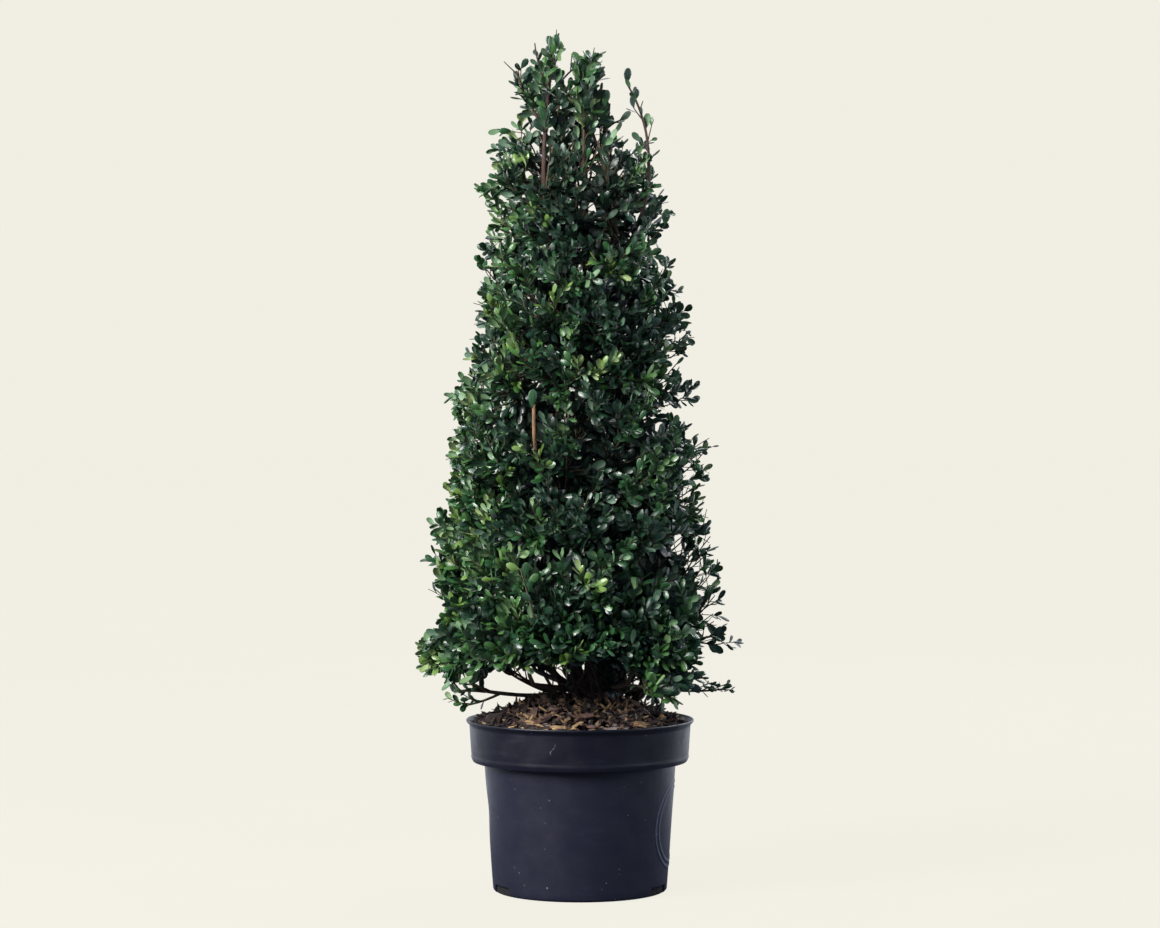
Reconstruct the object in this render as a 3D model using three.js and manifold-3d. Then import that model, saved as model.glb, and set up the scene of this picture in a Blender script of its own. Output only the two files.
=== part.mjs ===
// A potted Japanese holly clipped to a cone: a nursery pot with soil and bark mulch, a short trunk
// that forks into leaders, boughs under the skirt, and the leafy masses that those limbs carry.
// Millimetres, +Z up, -Y is the front. The origin is the centre of the pot's flat underside.
import * as THREE from "three";
import { mergeVertices } from "three/addons/utils/BufferGeometryUtils.js";
import Module from "manifold-3d";

const wasm = await Module();
wasm.setup();

const UP = new THREE.Vector3(0, 0, 1);
const GOLDEN_ANGLE = Math.PI * (3 - Math.sqrt(5));
const GOLDEN_SHARE = (Math.sqrt(5) - 1) / 2;
const SEAT_GAP = 0.3; // between a piece and what carries it
const TIP_GAP = 0.5; // between a limb's cut end and the stem that carries on from it
const LIMB_ROOM = 1.5; // kept free round a limb that passes a mass
const CELL_MARGIN = 0.6; // kept free inside a mass's own space
const SAME_POINT = 0.001; // corners closer than this are one corner
const SHORT_EDGE = 0.06; // finer steps than this are smoothed away where pieces join

// Pot: a blow-moulded 10 litre nursery container with a deep rim band
const POT = {
  height: 211,
  lipRadius: 140,
  lipDrop: 7,
  bandTopRadius: 135.8,
  bandFootRadius: 133.2,
  bandFoot: 162.5,
  bodyTopRadius: 117.5,
  bodyTop: 158,
  footRadius: 107,
  heel: 4,
  wall: 2.3,
  floor: 4,
  segments: 32,
};
const DRAIN = { width: 44, height: 10.5, chamfer: 4, depth: 16, fromFront: 64 };

// Filling: soil, and over it a mound of bark with loose chips
const SOIL = { top: 186 };
const MULCH = { edgeDrop: 10, plateau: 230, plateauRadius: 50, lump: 2.4, chips: 20 };
const CHIP = { length: 26, width: 11, thickness: 3, tilt: 0.5 };

// Limbs: the trunk, the leaders that run up inside the cone, and the boughs under its skirt
const TRUNK = { x: 10, y: 4, fork: 262, footRadius: 37, neckRadius: 24, forkRadius: 27 };
const LEADERS = [
  { side: "left", seat: [-14, -6], bow: [-44, -24, 640], end: [-26, -12] },
  { side: "middle", seat: [2, -14], bow: [8, -40, 640], end: [5, -16] },
  { side: "right", seat: [14, 8], bow: [40, 14, 640], end: [31, 8] },
];
const LEADER = { footRadius: 7.4, tipRadius: 3.6, rise: 90, top: 930 };
const BOUGH = { footRadius: 5.4, tipRadius: 3.2, start: 247, end: 262, reach: 112, dip: -4 };
const LOW_BOUGHS = { left: { reach: 128, end: 246, dip: -13 }, right: { reach: 118, end: 252, dip: -6 } };
const CUT_SHOOT = { start: 505, end: [-56, -112, 600], footRadius: 4.2, tipRadius: 3.6 };

// Crown: a clipped cone with a blunt top and shallow lumps, and single shoots that stand proud of it
const CROWN = { skirt: 292, skirtRadius: 184, tip: 1062, bulge: 0.43, lump: 0.045 };
const CORE = { shell: 30, side: 0.8, end: 2.6, cushion: 11, bump: 5 };
const EDGE_SWAY = 24; // how far the line between two tiers winds up and down round the crown
const SKIN = { depth: 24, overhang: 14, proud: 40 };
const PROUD_SHOOTS = [
  { angle: 180, height: 588, reach: 170 },
  { angle: 183, height: 420, reach: 192 },
  { angle: 176, height: 280, reach: 196 },
  { angle: 2, height: 612, reach: 148 },
  { angle: 357, height: 540, reach: 164 },
  { angle: 4, height: 440, reach: 186 },
  { angle: 358, height: 300, reach: 201 },
];
const TIERS = [
  { name: "skirt", low: 246, high: 425, sectors: 6, first: 0, hollow: 66, leafScale: 1.2 },
  { name: "middle", low: 425, high: 600, sectors: 5, first: 36, hollow: 64, leafScale: 1.15 },
  { name: "upper", low: 600, high: 770, sectors: 4, first: 0, hollow: 60, leafScale: 1.05 },
  { name: "shoulder", low: 770, high: 928, sectors: 3, first: 90, hollow: 44, leafScale: 0.9 },
];
const TIER = { twigs: 8, leaves: 3, firstLeaf: 0.45, stemLift: 16, skirtCore: 274 };

// The ragged top: three spaces side by side, in each of which one leader is carried on to its tip
const TOP_SPLIT = { left: -11, right: 25 };
const TOPS = [
  { side: "left", tip: [-30, -14, 1021], core: [-42, -12, 964], twigs: 13 },
  { side: "middle", tip: [7, -18, 1002], core: [7, -4, 960], twigs: 11 },
  { side: "right", tip: [60, 4, 984], core: [46, 6, 952], twigs: 12 },
];
const TOP = {
  low: 929,
  high: 1100,
  leaves: 3,
  leafScale: 0.74,
  firstLeaf: 0.4,
  reach: 58,
  shortest: 20,
  rise: 0.5,
  overhang: 30,
  coreRadius: 14,
  coreHeight: 26,
};
const SPRIGS = [
  { name: "sprig_left", angle: 184, from: 100, tip: 160, drop: 12, carrier: "bough_left" },
  { name: "sprig_right", angle: 356, from: 92, tip: 170, drop: 8, carrier: "bough_right" },
];
const SPRIG = { low: 214, high: 245, leaves: 5, leafScale: 0.5 };

// Growth: larger than life, because each leaf stands for a spray
const LEAF = { length: 42, width: 23, thickness: 2.4, widest: 0.58, splay: 0.95, sunk: 0.6 };
const TWIG = { footRadius: 2.2, tipRadius: 1.4, lift: 0.16 };
const STEM = { footRadius: 3, tipRadius: 2.2 };

// Colours, roughness and metalness as the finished surfaces show them
const FINISH = {
  pot: new THREE.MeshStandardMaterial({ color: 0x2a2c38, roughness: 0.45, metalness: 0 }),
  soil: new THREE.MeshStandardMaterial({ color: 0x241a16, roughness: 0.95, metalness: 0 }),
  mulch: new THREE.MeshStandardMaterial({ color: 0x6b4a31, roughness: 0.9, metalness: 0 }),
  bark: new THREE.MeshStandardMaterial({ color: 0x5b4a3c, roughness: 0.85, metalness: 0 }),
  leaf: new THREE.MeshStandardMaterial({ color: 0x2f5a35, roughness: 0.4, metalness: 0 }),
};

const vector = (x, y, z) => new THREE.Vector3(x, y, z);
const mix = THREE.MathUtils.lerp;
const radians = THREE.MathUtils.degToRad;
const polar = (angle, radius, height) =>
  vector(radius * Math.cos(angle), radius * Math.sin(angle), height);

// Seeded random numbers from 0 to 1, the same each time
function seededRandom(seed) {
  const multiplier = 1664525;
  const increment = 1013904223;
  const range = 2 ** 32;
  let state = seed;
  return () => {
    state = (state * multiplier + increment) % range;
    return state / range;
  };
}

function solidFrom(geometry) {
  const bare = geometry.clone();
  bare.deleteAttribute("normal");
  bare.deleteAttribute("uv");
  const merged = mergeVertices(bare, SAME_POINT);
  return new wasm.Manifold(
    new wasm.Mesh({
      numProp: 3,
      vertProperties: merged.attributes.position.array,
      triVerts: new Uint32Array(merged.index.array),
    }),
  );
}

function geometryFrom(solid) {
  const { vertProperties, triVerts } = solid.getMesh();
  const geometry = new THREE.BufferGeometry();
  geometry.setAttribute("position", new THREE.BufferAttribute(vertProperties, 3));
  geometry.setIndex(new THREE.BufferAttribute(triVerts, 1));
  geometry.computeVertexNormals();
  return geometry;
}

// Joins the pieces of a mass, fills what that seals off and drops loose scraps: the largest body stays
function fuse(pieces) {
  const joined = pieces.reduce((whole, piece) => whole.add(piece)).simplify(SHORT_EDGE);
  const bodies = solidFrom(geometryFrom(joined)).decompose();
  return bodies.reduce((best, body) => (body.volume() > best.volume() ? body : best));
}

function lathe(points, segments) {
  const profile = points.map(([radius, height]) => new THREE.Vector2(radius, height));
  return new THREE.LatheGeometry(profile, segments).rotateX(Math.PI / 2);
}

// A unit cylinder bent along a curve, with its radius worked out from the share of the length
function limbGeometry(curve, radiusAt, sides, rings) {
  const tube = new THREE.CylinderGeometry(1, 1, 1, sides, rings);
  const frames = curve.computeFrenetFrames(rings, false);
  const place = tube.attributes.position;
  for (let i = 0; i < place.count; i++) {
    const share = place.getY(i) + 0.5;
    const ring = Math.round(share * rings);
    const radius = radiusAt(share);
    const point = curve.getPointAt(share);
    point.addScaledVector(frames.normals[ring], place.getX(i) * radius);
    point.addScaledVector(frames.binormals[ring], -place.getZ(i) * radius);
    place.setXYZ(i, point.x, point.y, point.z);
  }
  return tube;
}

const taper = (foot, tip) => (share) => mix(foot, tip, share);

// A limb keeps its curve and its radius, so that others can be set against it
function makeLimb(name, curve, radiusAt, sides, rings) {
  const geometry = limbGeometry(curve, radiusAt, sides, rings);
  const grown = (extra) => solidFrom(limbGeometry(curve, (t) => radiusAt(t) + extra, sides, rings));
  const points = curve.getSpacedPoints(rings);
  return { name, curve, radiusAt, geometry, grown, points };
}

// Pot

function potProfile() {
  const { wall, heel, floor } = POT;
  return [
    [0, 0],
    [POT.footRadius - heel, 0],
    [POT.footRadius, heel],
    [POT.bodyTopRadius, POT.bodyTop],
    [POT.bandFootRadius - wall, POT.bandFoot - wall],
    [POT.bandFootRadius, POT.bandFoot],
    [POT.bandTopRadius, POT.height - POT.lipDrop],
    [POT.lipRadius, POT.height - wall],
    [POT.lipRadius, POT.height],
    [POT.lipRadius - wall, POT.height],
    [POT.bandTopRadius - wall, POT.height - POT.lipDrop],
    [POT.bandFootRadius - wall, POT.bandFoot + wall],
    [POT.bodyTopRadius - wall, POT.bodyTop + wall],
    [POT.footRadius - wall, floor + wall],
    [POT.footRadius - wall - heel / 2, floor],
    [0, floor],
  ];
}

// A drain notch in the heel, with its upper corners cut off
function drainNotch(angle) {
  const half = DRAIN.width / 2;
  const outline = new THREE.Shape();
  outline.moveTo(-half, -1);
  outline.lineTo(half, -1);
  outline.lineTo(half, DRAIN.height - DRAIN.chamfer);
  outline.lineTo(half - DRAIN.chamfer, DRAIN.height);
  outline.lineTo(DRAIN.chamfer - half, DRAIN.height);
  outline.lineTo(-half, DRAIN.height - DRAIN.chamfer);
  const block = new THREE.ExtrudeGeometry(outline, { depth: 2 * DRAIN.depth, bevelEnabled: false });
  const across = vector(-Math.sin(angle), Math.cos(angle), 0);
  const outward = vector(Math.cos(angle), Math.sin(angle), 0);
  const turn = new THREE.Matrix4().makeBasis(across, UP, outward);
  turn.setPosition(outward.clone().multiplyScalar(POT.footRadius - DRAIN.depth));
  return solidFrom(block.applyMatrix4(turn));
}

function potGeometry() {
  const front = -90;
  const sides = [DRAIN.fromFront, -DRAIN.fromFront, 180 - DRAIN.fromFront, DRAIN.fromFront - 180];
  const notches = sides.map((turn) => drainNotch(radians(front + turn)));
  const body = solidFrom(lathe(potProfile(), POT.segments));
  return geometryFrom(notches.reduce((pot, notch) => pot.subtract(notch), body));
}

// Radius of the pot's inner wall above the ledge of the band
function bandInside(height) {
  const share = (height - POT.bandFoot) / (POT.height - POT.lipDrop - POT.bandFoot);
  return mix(POT.bandFootRadius, POT.bandTopRadius, share) - POT.wall;
}

function soilGeometry() {
  const gap = 2 * SEAT_GAP;
  const { wall, floor, heel } = POT;
  const profile = [
    [0, floor + SEAT_GAP],
    [POT.footRadius - wall - heel / 2 - gap, floor + SEAT_GAP],
    [POT.footRadius - wall - gap, floor + wall],
    [POT.bodyTopRadius - wall - gap, POT.bodyTop + wall + gap],
    [POT.bandFootRadius - wall - gap, POT.bandFoot + wall + gap],
    [bandInside(SOIL.top) - gap, SOIL.top],
    [0, SOIL.top],
  ];
  return lathe(profile, POT.segments);
}

function mulchHeight(radius) {
  const edge = POT.height - MULCH.edgeDrop;
  const share = (radius - MULCH.plateauRadius) / (bandInside(edge) - MULCH.plateauRadius);
  const slope = THREE.MathUtils.clamp(share, 0, 1);
  return mix(MULCH.plateau, edge, slope);
}

// A wedge of bark, half sunk in the mound and tipped at random
function barkChip(index, random) {
  const inner = MULCH.plateauRadius + CHIP.length / 2;
  const outer = bandInside(POT.height - MULCH.edgeDrop) - CHIP.length;
  const radius = Math.sqrt(mix(inner ** 2, outer ** 2, (index + 0.5) / MULCH.chips));
  const size = mix(0.7, 1.15, random());
  const chip = new THREE.BoxGeometry(CHIP.length * size, CHIP.width * size, CHIP.thickness);
  const tip = (random() - 0.5) * 2 * CHIP.tilt;
  const roll = (random() - 0.5) * 2 * CHIP.tilt;
  chip.rotateX(roll).rotateY(tip).rotateZ(random() * Math.PI);
  const spot = polar(index * GOLDEN_ANGLE, radius, mulchHeight(radius) + CHIP.thickness / 2);
  return solidFrom(chip.translate(spot.x, spot.y, spot.z));
}

function mulchGeometry() {
  const floor = SOIL.top + SEAT_GAP;
  const edge = POT.height - MULCH.edgeDrop;
  const rim = bandInside(edge) - 2 * SEAT_GAP;
  const rings = [1, 0.82, 0.62, 0.4, 0.2, 0].map((share) => mix(MULCH.plateauRadius, rim, share));
  const slope = rings.map((radius) => [radius, mulchHeight(radius)]);
  const profile = [[0, floor], [bandInside(floor) - 2 * SEAT_GAP, floor], ...slope, [0, MULCH.plateau]];
  const mound = lathe(profile, POT.segments);
  const place = mound.attributes.position;
  for (let i = 0; i < place.count; i++) {
    const radius = Math.hypot(place.getX(i), place.getY(i));
    const onSlope = place.getZ(i) > floor + 1 && radius > MULCH.plateauRadius + 1 && radius < rim - 1;
    const lump = Math.sin(place.getX(i) / 9) * Math.cos(place.getY(i) / 11) * MULCH.lump;
    if (onSlope) place.setZ(i, place.getZ(i) + lump);
  }
  const random = seededRandom(11);
  const chips = Array.from({ length: MULCH.chips }, (_, i) => barkChip(i, random));
  return geometryFrom(fuse([solidFrom(mound), ...chips]));
}

// Limbs

function makeTrunk() {
  const foot = vector(TRUNK.x, TRUNK.y, MULCH.plateau + SEAT_GAP);
  const top = vector(TRUNK.x, TRUNK.y, TRUNK.fork);
  const radiusAt = (t) =>
    TRUNK.neckRadius +
    (TRUNK.footRadius - TRUNK.neckRadius) * (1 - t) ** 3 +
    (TRUNK.forkRadius - TRUNK.neckRadius) * t ** 2;
  return makeLimb("trunk", new THREE.LineCurve3(foot, top), radiusAt, 12, 5);
}

// A leader stands on the fork with a level cut, bows out and ends where its leafy top begins
function makeLeader({ side, seat, bow, end }) {
  const foot = vector(TRUNK.x + seat[0], TRUNK.y + seat[1], TRUNK.fork + SEAT_GAP);
  const rise = foot.clone().addScaledVector(UP, LEADER.rise);
  const curve = new THREE.CubicBezierCurve3(foot, rise, vector(...bow), vector(...end, LEADER.top));
  return makeLimb(`leader_${side}`, curve, taper(LEADER.footRadius, LEADER.tipRadius), 6, 10);
}

// A bough leaves the trunk's side and runs out under the skirt. Its foot is cut to the trunk.
function makeBough(name, angle, trunk, size) {
  const foot = vector(TRUNK.x, TRUNK.y, BOUGH.start);
  const end = polar(angle, size.reach, size.end);
  const middle = foot.clone().lerp(end, 0.6).addScaledVector(UP, size.dip);
  const curve = new THREE.QuadraticBezierCurve3(foot, middle, end);
  const limb = makeLimb(name, curve, taper(BOUGH.footRadius, BOUGH.tipRadius), 6, 6);
  limb.geometry = geometryFrom(solidFrom(limb.geometry).subtract(trunk.grown(SEAT_GAP)));
  return limb;
}

// The pruned shoot whose bare wood shows in front, cut square at its top
function makeCutShoot(leader) {
  const share = (CUT_SHOOT.start - TRUNK.fork) / (leader.points.at(-1).z - TRUNK.fork);
  const foot = leader.curve.getPointAt(share);
  const end = vector(...CUT_SHOOT.end);
  const bend = vector(end.x, end.y, mix(foot.z, end.z, 0.35));
  const curve = new THREE.QuadraticBezierCurve3(foot, bend, end);
  const limb = makeLimb("cut_shoot", curve, taper(CUT_SHOOT.footRadius, CUT_SHOOT.tipRadius), 6, 6);
  limb.geometry = geometryFrom(solidFrom(limb.geometry).subtract(leader.grown(SEAT_GAP)));
  return limb;
}

// Crown

function crownRadius(angle, height) {
  const share = (CROWN.tip - height) / (CROWN.tip - CROWN.skirt);
  const round = THREE.MathUtils.clamp(share, 0, 1.05) ** CROWN.bulge;
  const lump = Math.sin(3 * angle + height / 60) * Math.cos(2 * angle - height / 45);
  return CROWN.skirtRadius * round * (1 + CROWN.lump * lump);
}

// The line between two tiers. The skirt's lower edge and the shoulder's upper one are level.
function tierEdge(height, angle) {
  const level = height === TIERS[0].low || height === TIERS.at(-1).high;
  return level ? height : height + EDGE_SWAY * Math.sin(2 * angle + height / 60);
}

// A mass's own space: upright walls, each a direction and how far along it the space begins, and two heights
function sectorCell(from, to, low, high) {
  const walls = [
    { x: -Math.sin(from), y: Math.cos(from), start: 0 },
    { x: Math.sin(to), y: -Math.cos(to), start: 0 },
  ];
  const lowAt = (angle) => tierEdge(low, angle);
  const highAt = (angle) => tierEdge(high, angle);
  return { walls, lowAt, highAt, from, to };
}

function topCell(side) {
  const { left, right } = TOP_SPLIT;
  const walls = {
    left: [{ x: -1, y: 0, start: -left }],
    middle: [
      { x: 1, y: 0, start: left },
      { x: -1, y: 0, start: -right },
    ],
    right: [{ x: 1, y: 0, start: right }],
  };
  return { walls: walls[side], lowAt: () => TOP.low, highAt: () => TOP.high };
}

function inCell(point, cell, overhang) {
  const inWalls = cell.walls.every(({ x, y, start }) => point.x * x + point.y * y > start + CELL_MARGIN);
  const angle = Math.atan2(point.y, point.x);
  const inHeight = point.z > cell.lowAt(angle) + CELL_MARGIN && point.z < cell.highAt(angle) - CELL_MARGIN;
  const skin = crownRadius(angle, point.z) + overhang;
  return inWalls && inHeight && Math.hypot(point.x, point.y) < skin;
}

function clearOfLimbs(points, limbs, room) {
  const nearest = new THREE.Vector3();
  return limbs.every((limb) =>
    limb.points.slice(1).every((end, i) => {
      const stretch = new THREE.Line3(limb.points[i], end);
      const radius = limb.radiusAt(i / (limb.points.length - 1)) + room;
      return points.every((p) => stretch.closestPointToPoint(p, true, nearest).distanceTo(p) > radius);
    }),
  );
}

// The height where the dense inside begins: over the boughs in the skirt
function coreFoot(cell, angle) {
  return Math.max(cell.lowAt(angle) + CORE.end, TIER.skirtCore);
}

// The dense inside of a mass: a block that fills the cell up to a shell's depth under the skin,
// cushioned on its outer side and lumpy there
function coreSolid(cell, hollow) {
  const block = new THREE.BoxGeometry(2, 2, 2, 1, 5, 4);
  const place = block.attributes.position;
  const middle = (cell.from + cell.to) / 2;
  const half = (cell.to - cell.from) / 2;
  for (let i = 0; i < place.count; i++) {
    const [depth, aside, rise] = [place.getX(i), place.getY(i), place.getZ(i)];
    const wide = middle + aside * half;
    const height = mix(coreFoot(cell, wide), cell.highAt(wide) - CORE.end, (rise + 1) / 2);
    const cushion = CORE.cushion * (aside ** 4 + rise ** 4);
    const bump = CORE.bump * Math.sin(9 * wide + height / 9) * Math.cos(11 * wide - height / 14);
    const outer = crownRadius(wide, height) - CORE.shell - cushion + bump;
    const radius = depth > 0 ? outer : hollow;
    const point = polar(middle + aside * (half - CORE.side / radius), radius, height);
    place.setXYZ(i, point.x, point.y, point.z);
  }
  return solidFrom(block);
}

function leafGeometry(scale) {
  const leaf = new THREE.OctahedronGeometry(1);
  const place = leaf.attributes.position;
  for (let i = 0; i < place.count; i++) {
    const along = place.getY(i) === 0 ? LEAF.widest : (place.getY(i) + 1) / 2;
    const x = (place.getX(i) * LEAF.width * scale) / 2;
    const z = (place.getZ(i) * LEAF.thickness) / 2;
    place.setXYZ(i, x, along * LEAF.length * scale, z);
  }
  return leaf;
}

// A leaf on its twig: splayed from the twig at a turn round it, its upper face towards the twig's tip
function placedLeaf(twig, share, turn, splay, scale) {
  const along = twig.getTangentAt(share);
  const aside = vector(0, 0, 1).cross(along).normalize().applyAxisAngle(along, turn);
  const heading = along.clone().multiplyScalar(Math.cos(splay)).addScaledVector(aside, Math.sin(splay));
  const face = along.clone().addScaledVector(heading, -along.dot(heading));
  const normal = face.lengthSq() > 1e-6 ? face.normalize() : aside;
  const side = heading.clone().cross(normal);
  const root = twig.getPointAt(share).addScaledVector(heading, -LEAF.sunk);
  const turned = new THREE.Matrix4().makeBasis(side, heading, normal).setPosition(root);
  return leafGeometry(scale).applyMatrix4(turned);
}

// The corners of a leaf's faces and the middles of their edges
function samplesOf(leaf) {
  const place = leaf.attributes.position;
  const corners = Array.from({ length: place.count }, (_, i) => new THREE.Vector3().fromBufferAttribute(place, i));
  const nextOf = (i) => (i % 3 === 2 ? i - 2 : i + 1);
  const middles = corners.map((corner, i) => corner.clone().lerp(corners[nextOf(i)], 0.5));
  return [...corners, ...middles];
}

// One mass by the growth rule: twigs leave the stem or the core for their targets, and leaves sit round
// each twig by the golden angle. A twig or leaf that would leave the space or touch a limb is skipped.
function growMass({ stem, stemRadius, cell, core, twigs, foliage, limbs, random }) {
  const { leaves, firstLeaf, leafScale } = foliage;
  const pieces = [solidFrom(limbGeometry(stem, stemRadius, 4, 3))];
  if (core) pieces.push(core);
  twigs.forEach(({ start, point, overhang }, index) => {
    const bend = start.clone().lerp(point, 0.55);
    bend.addScaledVector(UP, TWIG.lift * start.distanceTo(point));
    const twig = new THREE.QuadraticBezierCurve3(start, bend, point);
    const path = twig.getSpacedPoints(8);
    const fits = path.slice(2).every((p) => inCell(p, cell, overhang));
    if (!fits || !clearOfLimbs(path, limbs, TWIG.footRadius + LIMB_ROOM)) return;
    pieces.push(solidFrom(limbGeometry(twig, taper(TWIG.footRadius, TWIG.tipRadius), 3, 1)));
    for (let k = 0; k < leaves; k++) {
      const share = mix(firstLeaf, 0.96, k / (leaves - 1));
      const splay = LEAF.splay * mix(1, 0.35, k / leaves) * mix(0.85, 1.15, random());
      const turn = (index + k) * GOLDEN_ANGLE;
      const leaf = placedLeaf(twig, share, turn, splay, leafScale * mix(0.85, 1.1, random()));
      const samples = samplesOf(leaf);
      const inside = samples.every((p) => inCell(p, cell, overhang));
      if (inside && clearOfLimbs(samples, limbs, 2 * LIMB_ROOM)) pieces.push(solidFrom(leaf));
    }
  });
  return fuse(pieces);
}

// Targets spread evenly over the skin of a cell, and the proud shoots that stand in it
function skinTargets(cell, count, random) {
  const even = Array.from({ length: count }, (_, i) => {
    const angle = mix(cell.from, cell.to, 0.08 + 0.84 * (((i + 0.5) * GOLDEN_SHARE) % 1));
    const height = mix(cell.lowAt(angle), cell.highAt(angle), 0.08 + (0.82 * (i + 0.5)) / count);
    const radius = crownRadius(angle, height) - SKIN.depth * mix(0.7, 1.2, random());
    return { point: polar(angle, radius, height), overhang: SKIN.overhang };
  });
  const proud = PROUD_SHOOTS.map(({ angle, height, reach }) => ({
    point: polar(radians(angle), reach - SKIN.depth, height - LEAF.length / 4),
    overhang: SKIN.proud,
  }));
  return [...even, ...proud.filter(({ point }) => inCell(point, cell, SKIN.proud))];
}

function nearestLeader(leaders, point) {
  const gapTo = (leader) => Math.min(...leader.points.map((p) => p.distanceTo(point)));
  return leaders.reduce((best, leader) => (gapTo(leader) < gapTo(best) ? leader : best));
}

// A dense mass. Those of the skirt stand on the boughs' tips, higher ones grow from the nearest leader.
// Its twigs come out of the core a little below their targets.
function makeTierMass(tier, index, limbs, leaders, boughs) {
  const width = radians(360 / tier.sectors);
  const middle = radians(tier.first) + index * width;
  const cell = sectorCell(middle - width / 2, middle + width / 2, tier.low, tier.high);
  const random = seededRandom(100 * tier.low + index);
  const bough = tier.name === "skirt" ? boughs[index] : null;
  const hubRadius = bough ? BOUGH.reach + 16 : tier.hollow + 8;
  const hub = polar(middle, hubRadius, mix(coreFoot(cell, middle), cell.highAt(middle), 0.3));
  const carrier = bough ?? nearestLeader(leaders, hub);
  const root = bough ? limbTip(bough) : forkPoint(carrier, hub);
  const bend = bough ? root.clone().addScaledVector(bough.curve.getTangentAt(1), 12) : root.clone().lerp(hub, 0.5);
  const cutters = limbs.filter((limb) => limb.name === "cut_shoot");
  const core = cutters.reduce(
    (solid, limb) => solid.subtract(limb.grown(LIMB_ROOM)),
    coreSolid(cell, tier.hollow),
  );
  const twigs = skinTargets(cell, TIER.twigs, random).map((target) => {
    const angle = Math.atan2(target.point.y, target.point.x);
    const height = Math.max(target.point.z - TIER.stemLift, coreFoot(cell, angle) + 8);
    return { ...target, start: polar(angle, crownRadius(angle, height) - CORE.shell - 8, height) };
  });
  const mass = growMass({
    stem: new THREE.QuadraticBezierCurve3(root, bend, hub),
    stemRadius: taper(STEM.footRadius, STEM.tipRadius),
    cell,
    core,
    twigs,
    foliage: { ...TIER, leafScale: tier.leafScale },
    limbs,
    random,
  });
  const cut = bough ? mass : mass.subtract(carrier.grown(SEAT_GAP));
  return { name: `foliage_${tier.name}_${index + 1}`, solid: fuse([cut]) };
}

function limbTip(bough) {
  return bough.points.at(-1).clone().addScaledVector(bough.curve.getTangentAt(1), TIP_GAP);
}

// The place on a leader's axis, a little below the hub, where a mass's stem forks off
function forkPoint(leader, hub) {
  const below = leader.points.filter((p) => p.z < hub.z - 20);
  return below.length ? below.at(-1).clone() : leader.points[0].clone();
}

// The longest twig from a start that keeps its end under the skin and inside the cell
function longestTwig(start, angle, cell) {
  let length = TOP.reach;
  const end = () => start.clone().add(polar(angle, length, TOP.rise * length));
  while (length > TOP.shortest && !inCell(end(), cell, -SKIN.depth / 2)) length -= 4;
  return end();
}

// A mass that carries a leader on to its tip: a small dense heart, and twigs all round it
function makeTop({ side, tip, core, twigs }, limbs, leaders) {
  const carrier = leaders.find((limb) => limb.name === `leader_${side}`);
  const root = limbTip(carrier);
  const onward = root.clone().addScaledVector(carrier.curve.getTangentAt(1), 16);
  const stem = new THREE.CubicBezierCurve3(root, onward, vector(...core), vector(...tip));
  const cell = topCell(side);
  const ball = new THREE.IcosahedronGeometry(1, 1).scale(TOP.coreRadius, TOP.coreRadius, TOP.coreHeight);
  const middle = stem.getPointAt(0.42);
  const shoots = Array.from({ length: twigs }, (_, i) => {
    const start = stem.getPointAt(mix(0.1, 0.9, (i + 0.5) / twigs));
    return { start, point: longestTwig(start, i * GOLDEN_ANGLE, cell), overhang: TOP.overhang };
  });
  const summit = stem.getPointAt(1).add(vector(0, 0, 10));
  shoots.push({ start: stem.getPointAt(0.95), point: summit, overhang: SKIN.proud });
  const solid = growMass({
    stem,
    stemRadius: taper(LEADER.tipRadius, TWIG.tipRadius),
    cell,
    core: solidFrom(ball.translate(middle.x, middle.y, middle.z)),
    twigs: shoots,
    foliage: TOP,
    limbs: limbs.filter((limb) => limb !== carrier),
    random: seededRandom(7 * tip[2]),
  });
  return { name: `foliage_top_${side}`, solid };
}

// A low shoot that hangs out over the pot's rim under the skirt
function makeSprig({ name, angle, from, tip, drop, carrier }, boughs) {
  const bough = boughs.find((limb) => limb.name === carrier);
  const root = bough.curve.getPointAt(from / (bough.curve.getLength() + TRUNK.x));
  const end = polar(radians(angle), tip, root.z - drop);
  const bend = root.clone().lerp(end, 0.4).addScaledVector(UP, -drop / 2);
  const stem = new THREE.QuadraticBezierCurve3(root, bend, end);
  const pieces = [solidFrom(limbGeometry(stem, taper(1.8, 1.1), 3, 3))];
  for (let k = 0; k < SPRIG.leaves; k++) {
    const share = mix(0.4, 0.95, k / (SPRIG.leaves - 1));
    const leaf = placedLeaf(stem, share, k * GOLDEN_ANGLE, LEAF.splay, SPRIG.leafScale);
    const inside = samplesOf(leaf).every((p) => p.z > SPRIG.low && p.z < SPRIG.high);
    if (inside) pieces.push(solidFrom(leaf));
  }
  const cut = fuse(pieces).subtract(bough.grown(SEAT_GAP));
  return { name: `foliage_${name}`, solid: fuse([cut]) };
}

// Assembly

const holly = new THREE.Group();

function addNode(name, geometry, finish) {
  const mesh = new THREE.Mesh(geometry, finish);
  mesh.name = name;
  holly.add(mesh);
}

const trunk = makeTrunk();
const leaders = LEADERS.map(makeLeader);
const cutShoot = makeCutShoot(leaders[0]);
const skirt = TIERS[0];
const boughNames = ["right", "back_right", "back_left", "left", "front_left", "front_right"];
const boughs = boughNames.map((side, index) => {
  const angle = radians(skirt.first + (index * 360) / skirt.sectors);
  return makeBough(`bough_${side}`, angle, trunk, { ...BOUGH, ...LOW_BOUGHS[side] });
});
const limbs = [trunk, ...leaders, cutShoot, ...boughs];

addNode("pot", potGeometry(), FINISH.pot);
addNode("potting_soil", soilGeometry(), FINISH.soil);
addNode("bark_mulch", mulchGeometry(), FINISH.mulch);
limbs.forEach((limb) => addNode(limb.name, limb.geometry, FINISH.bark));

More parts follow.
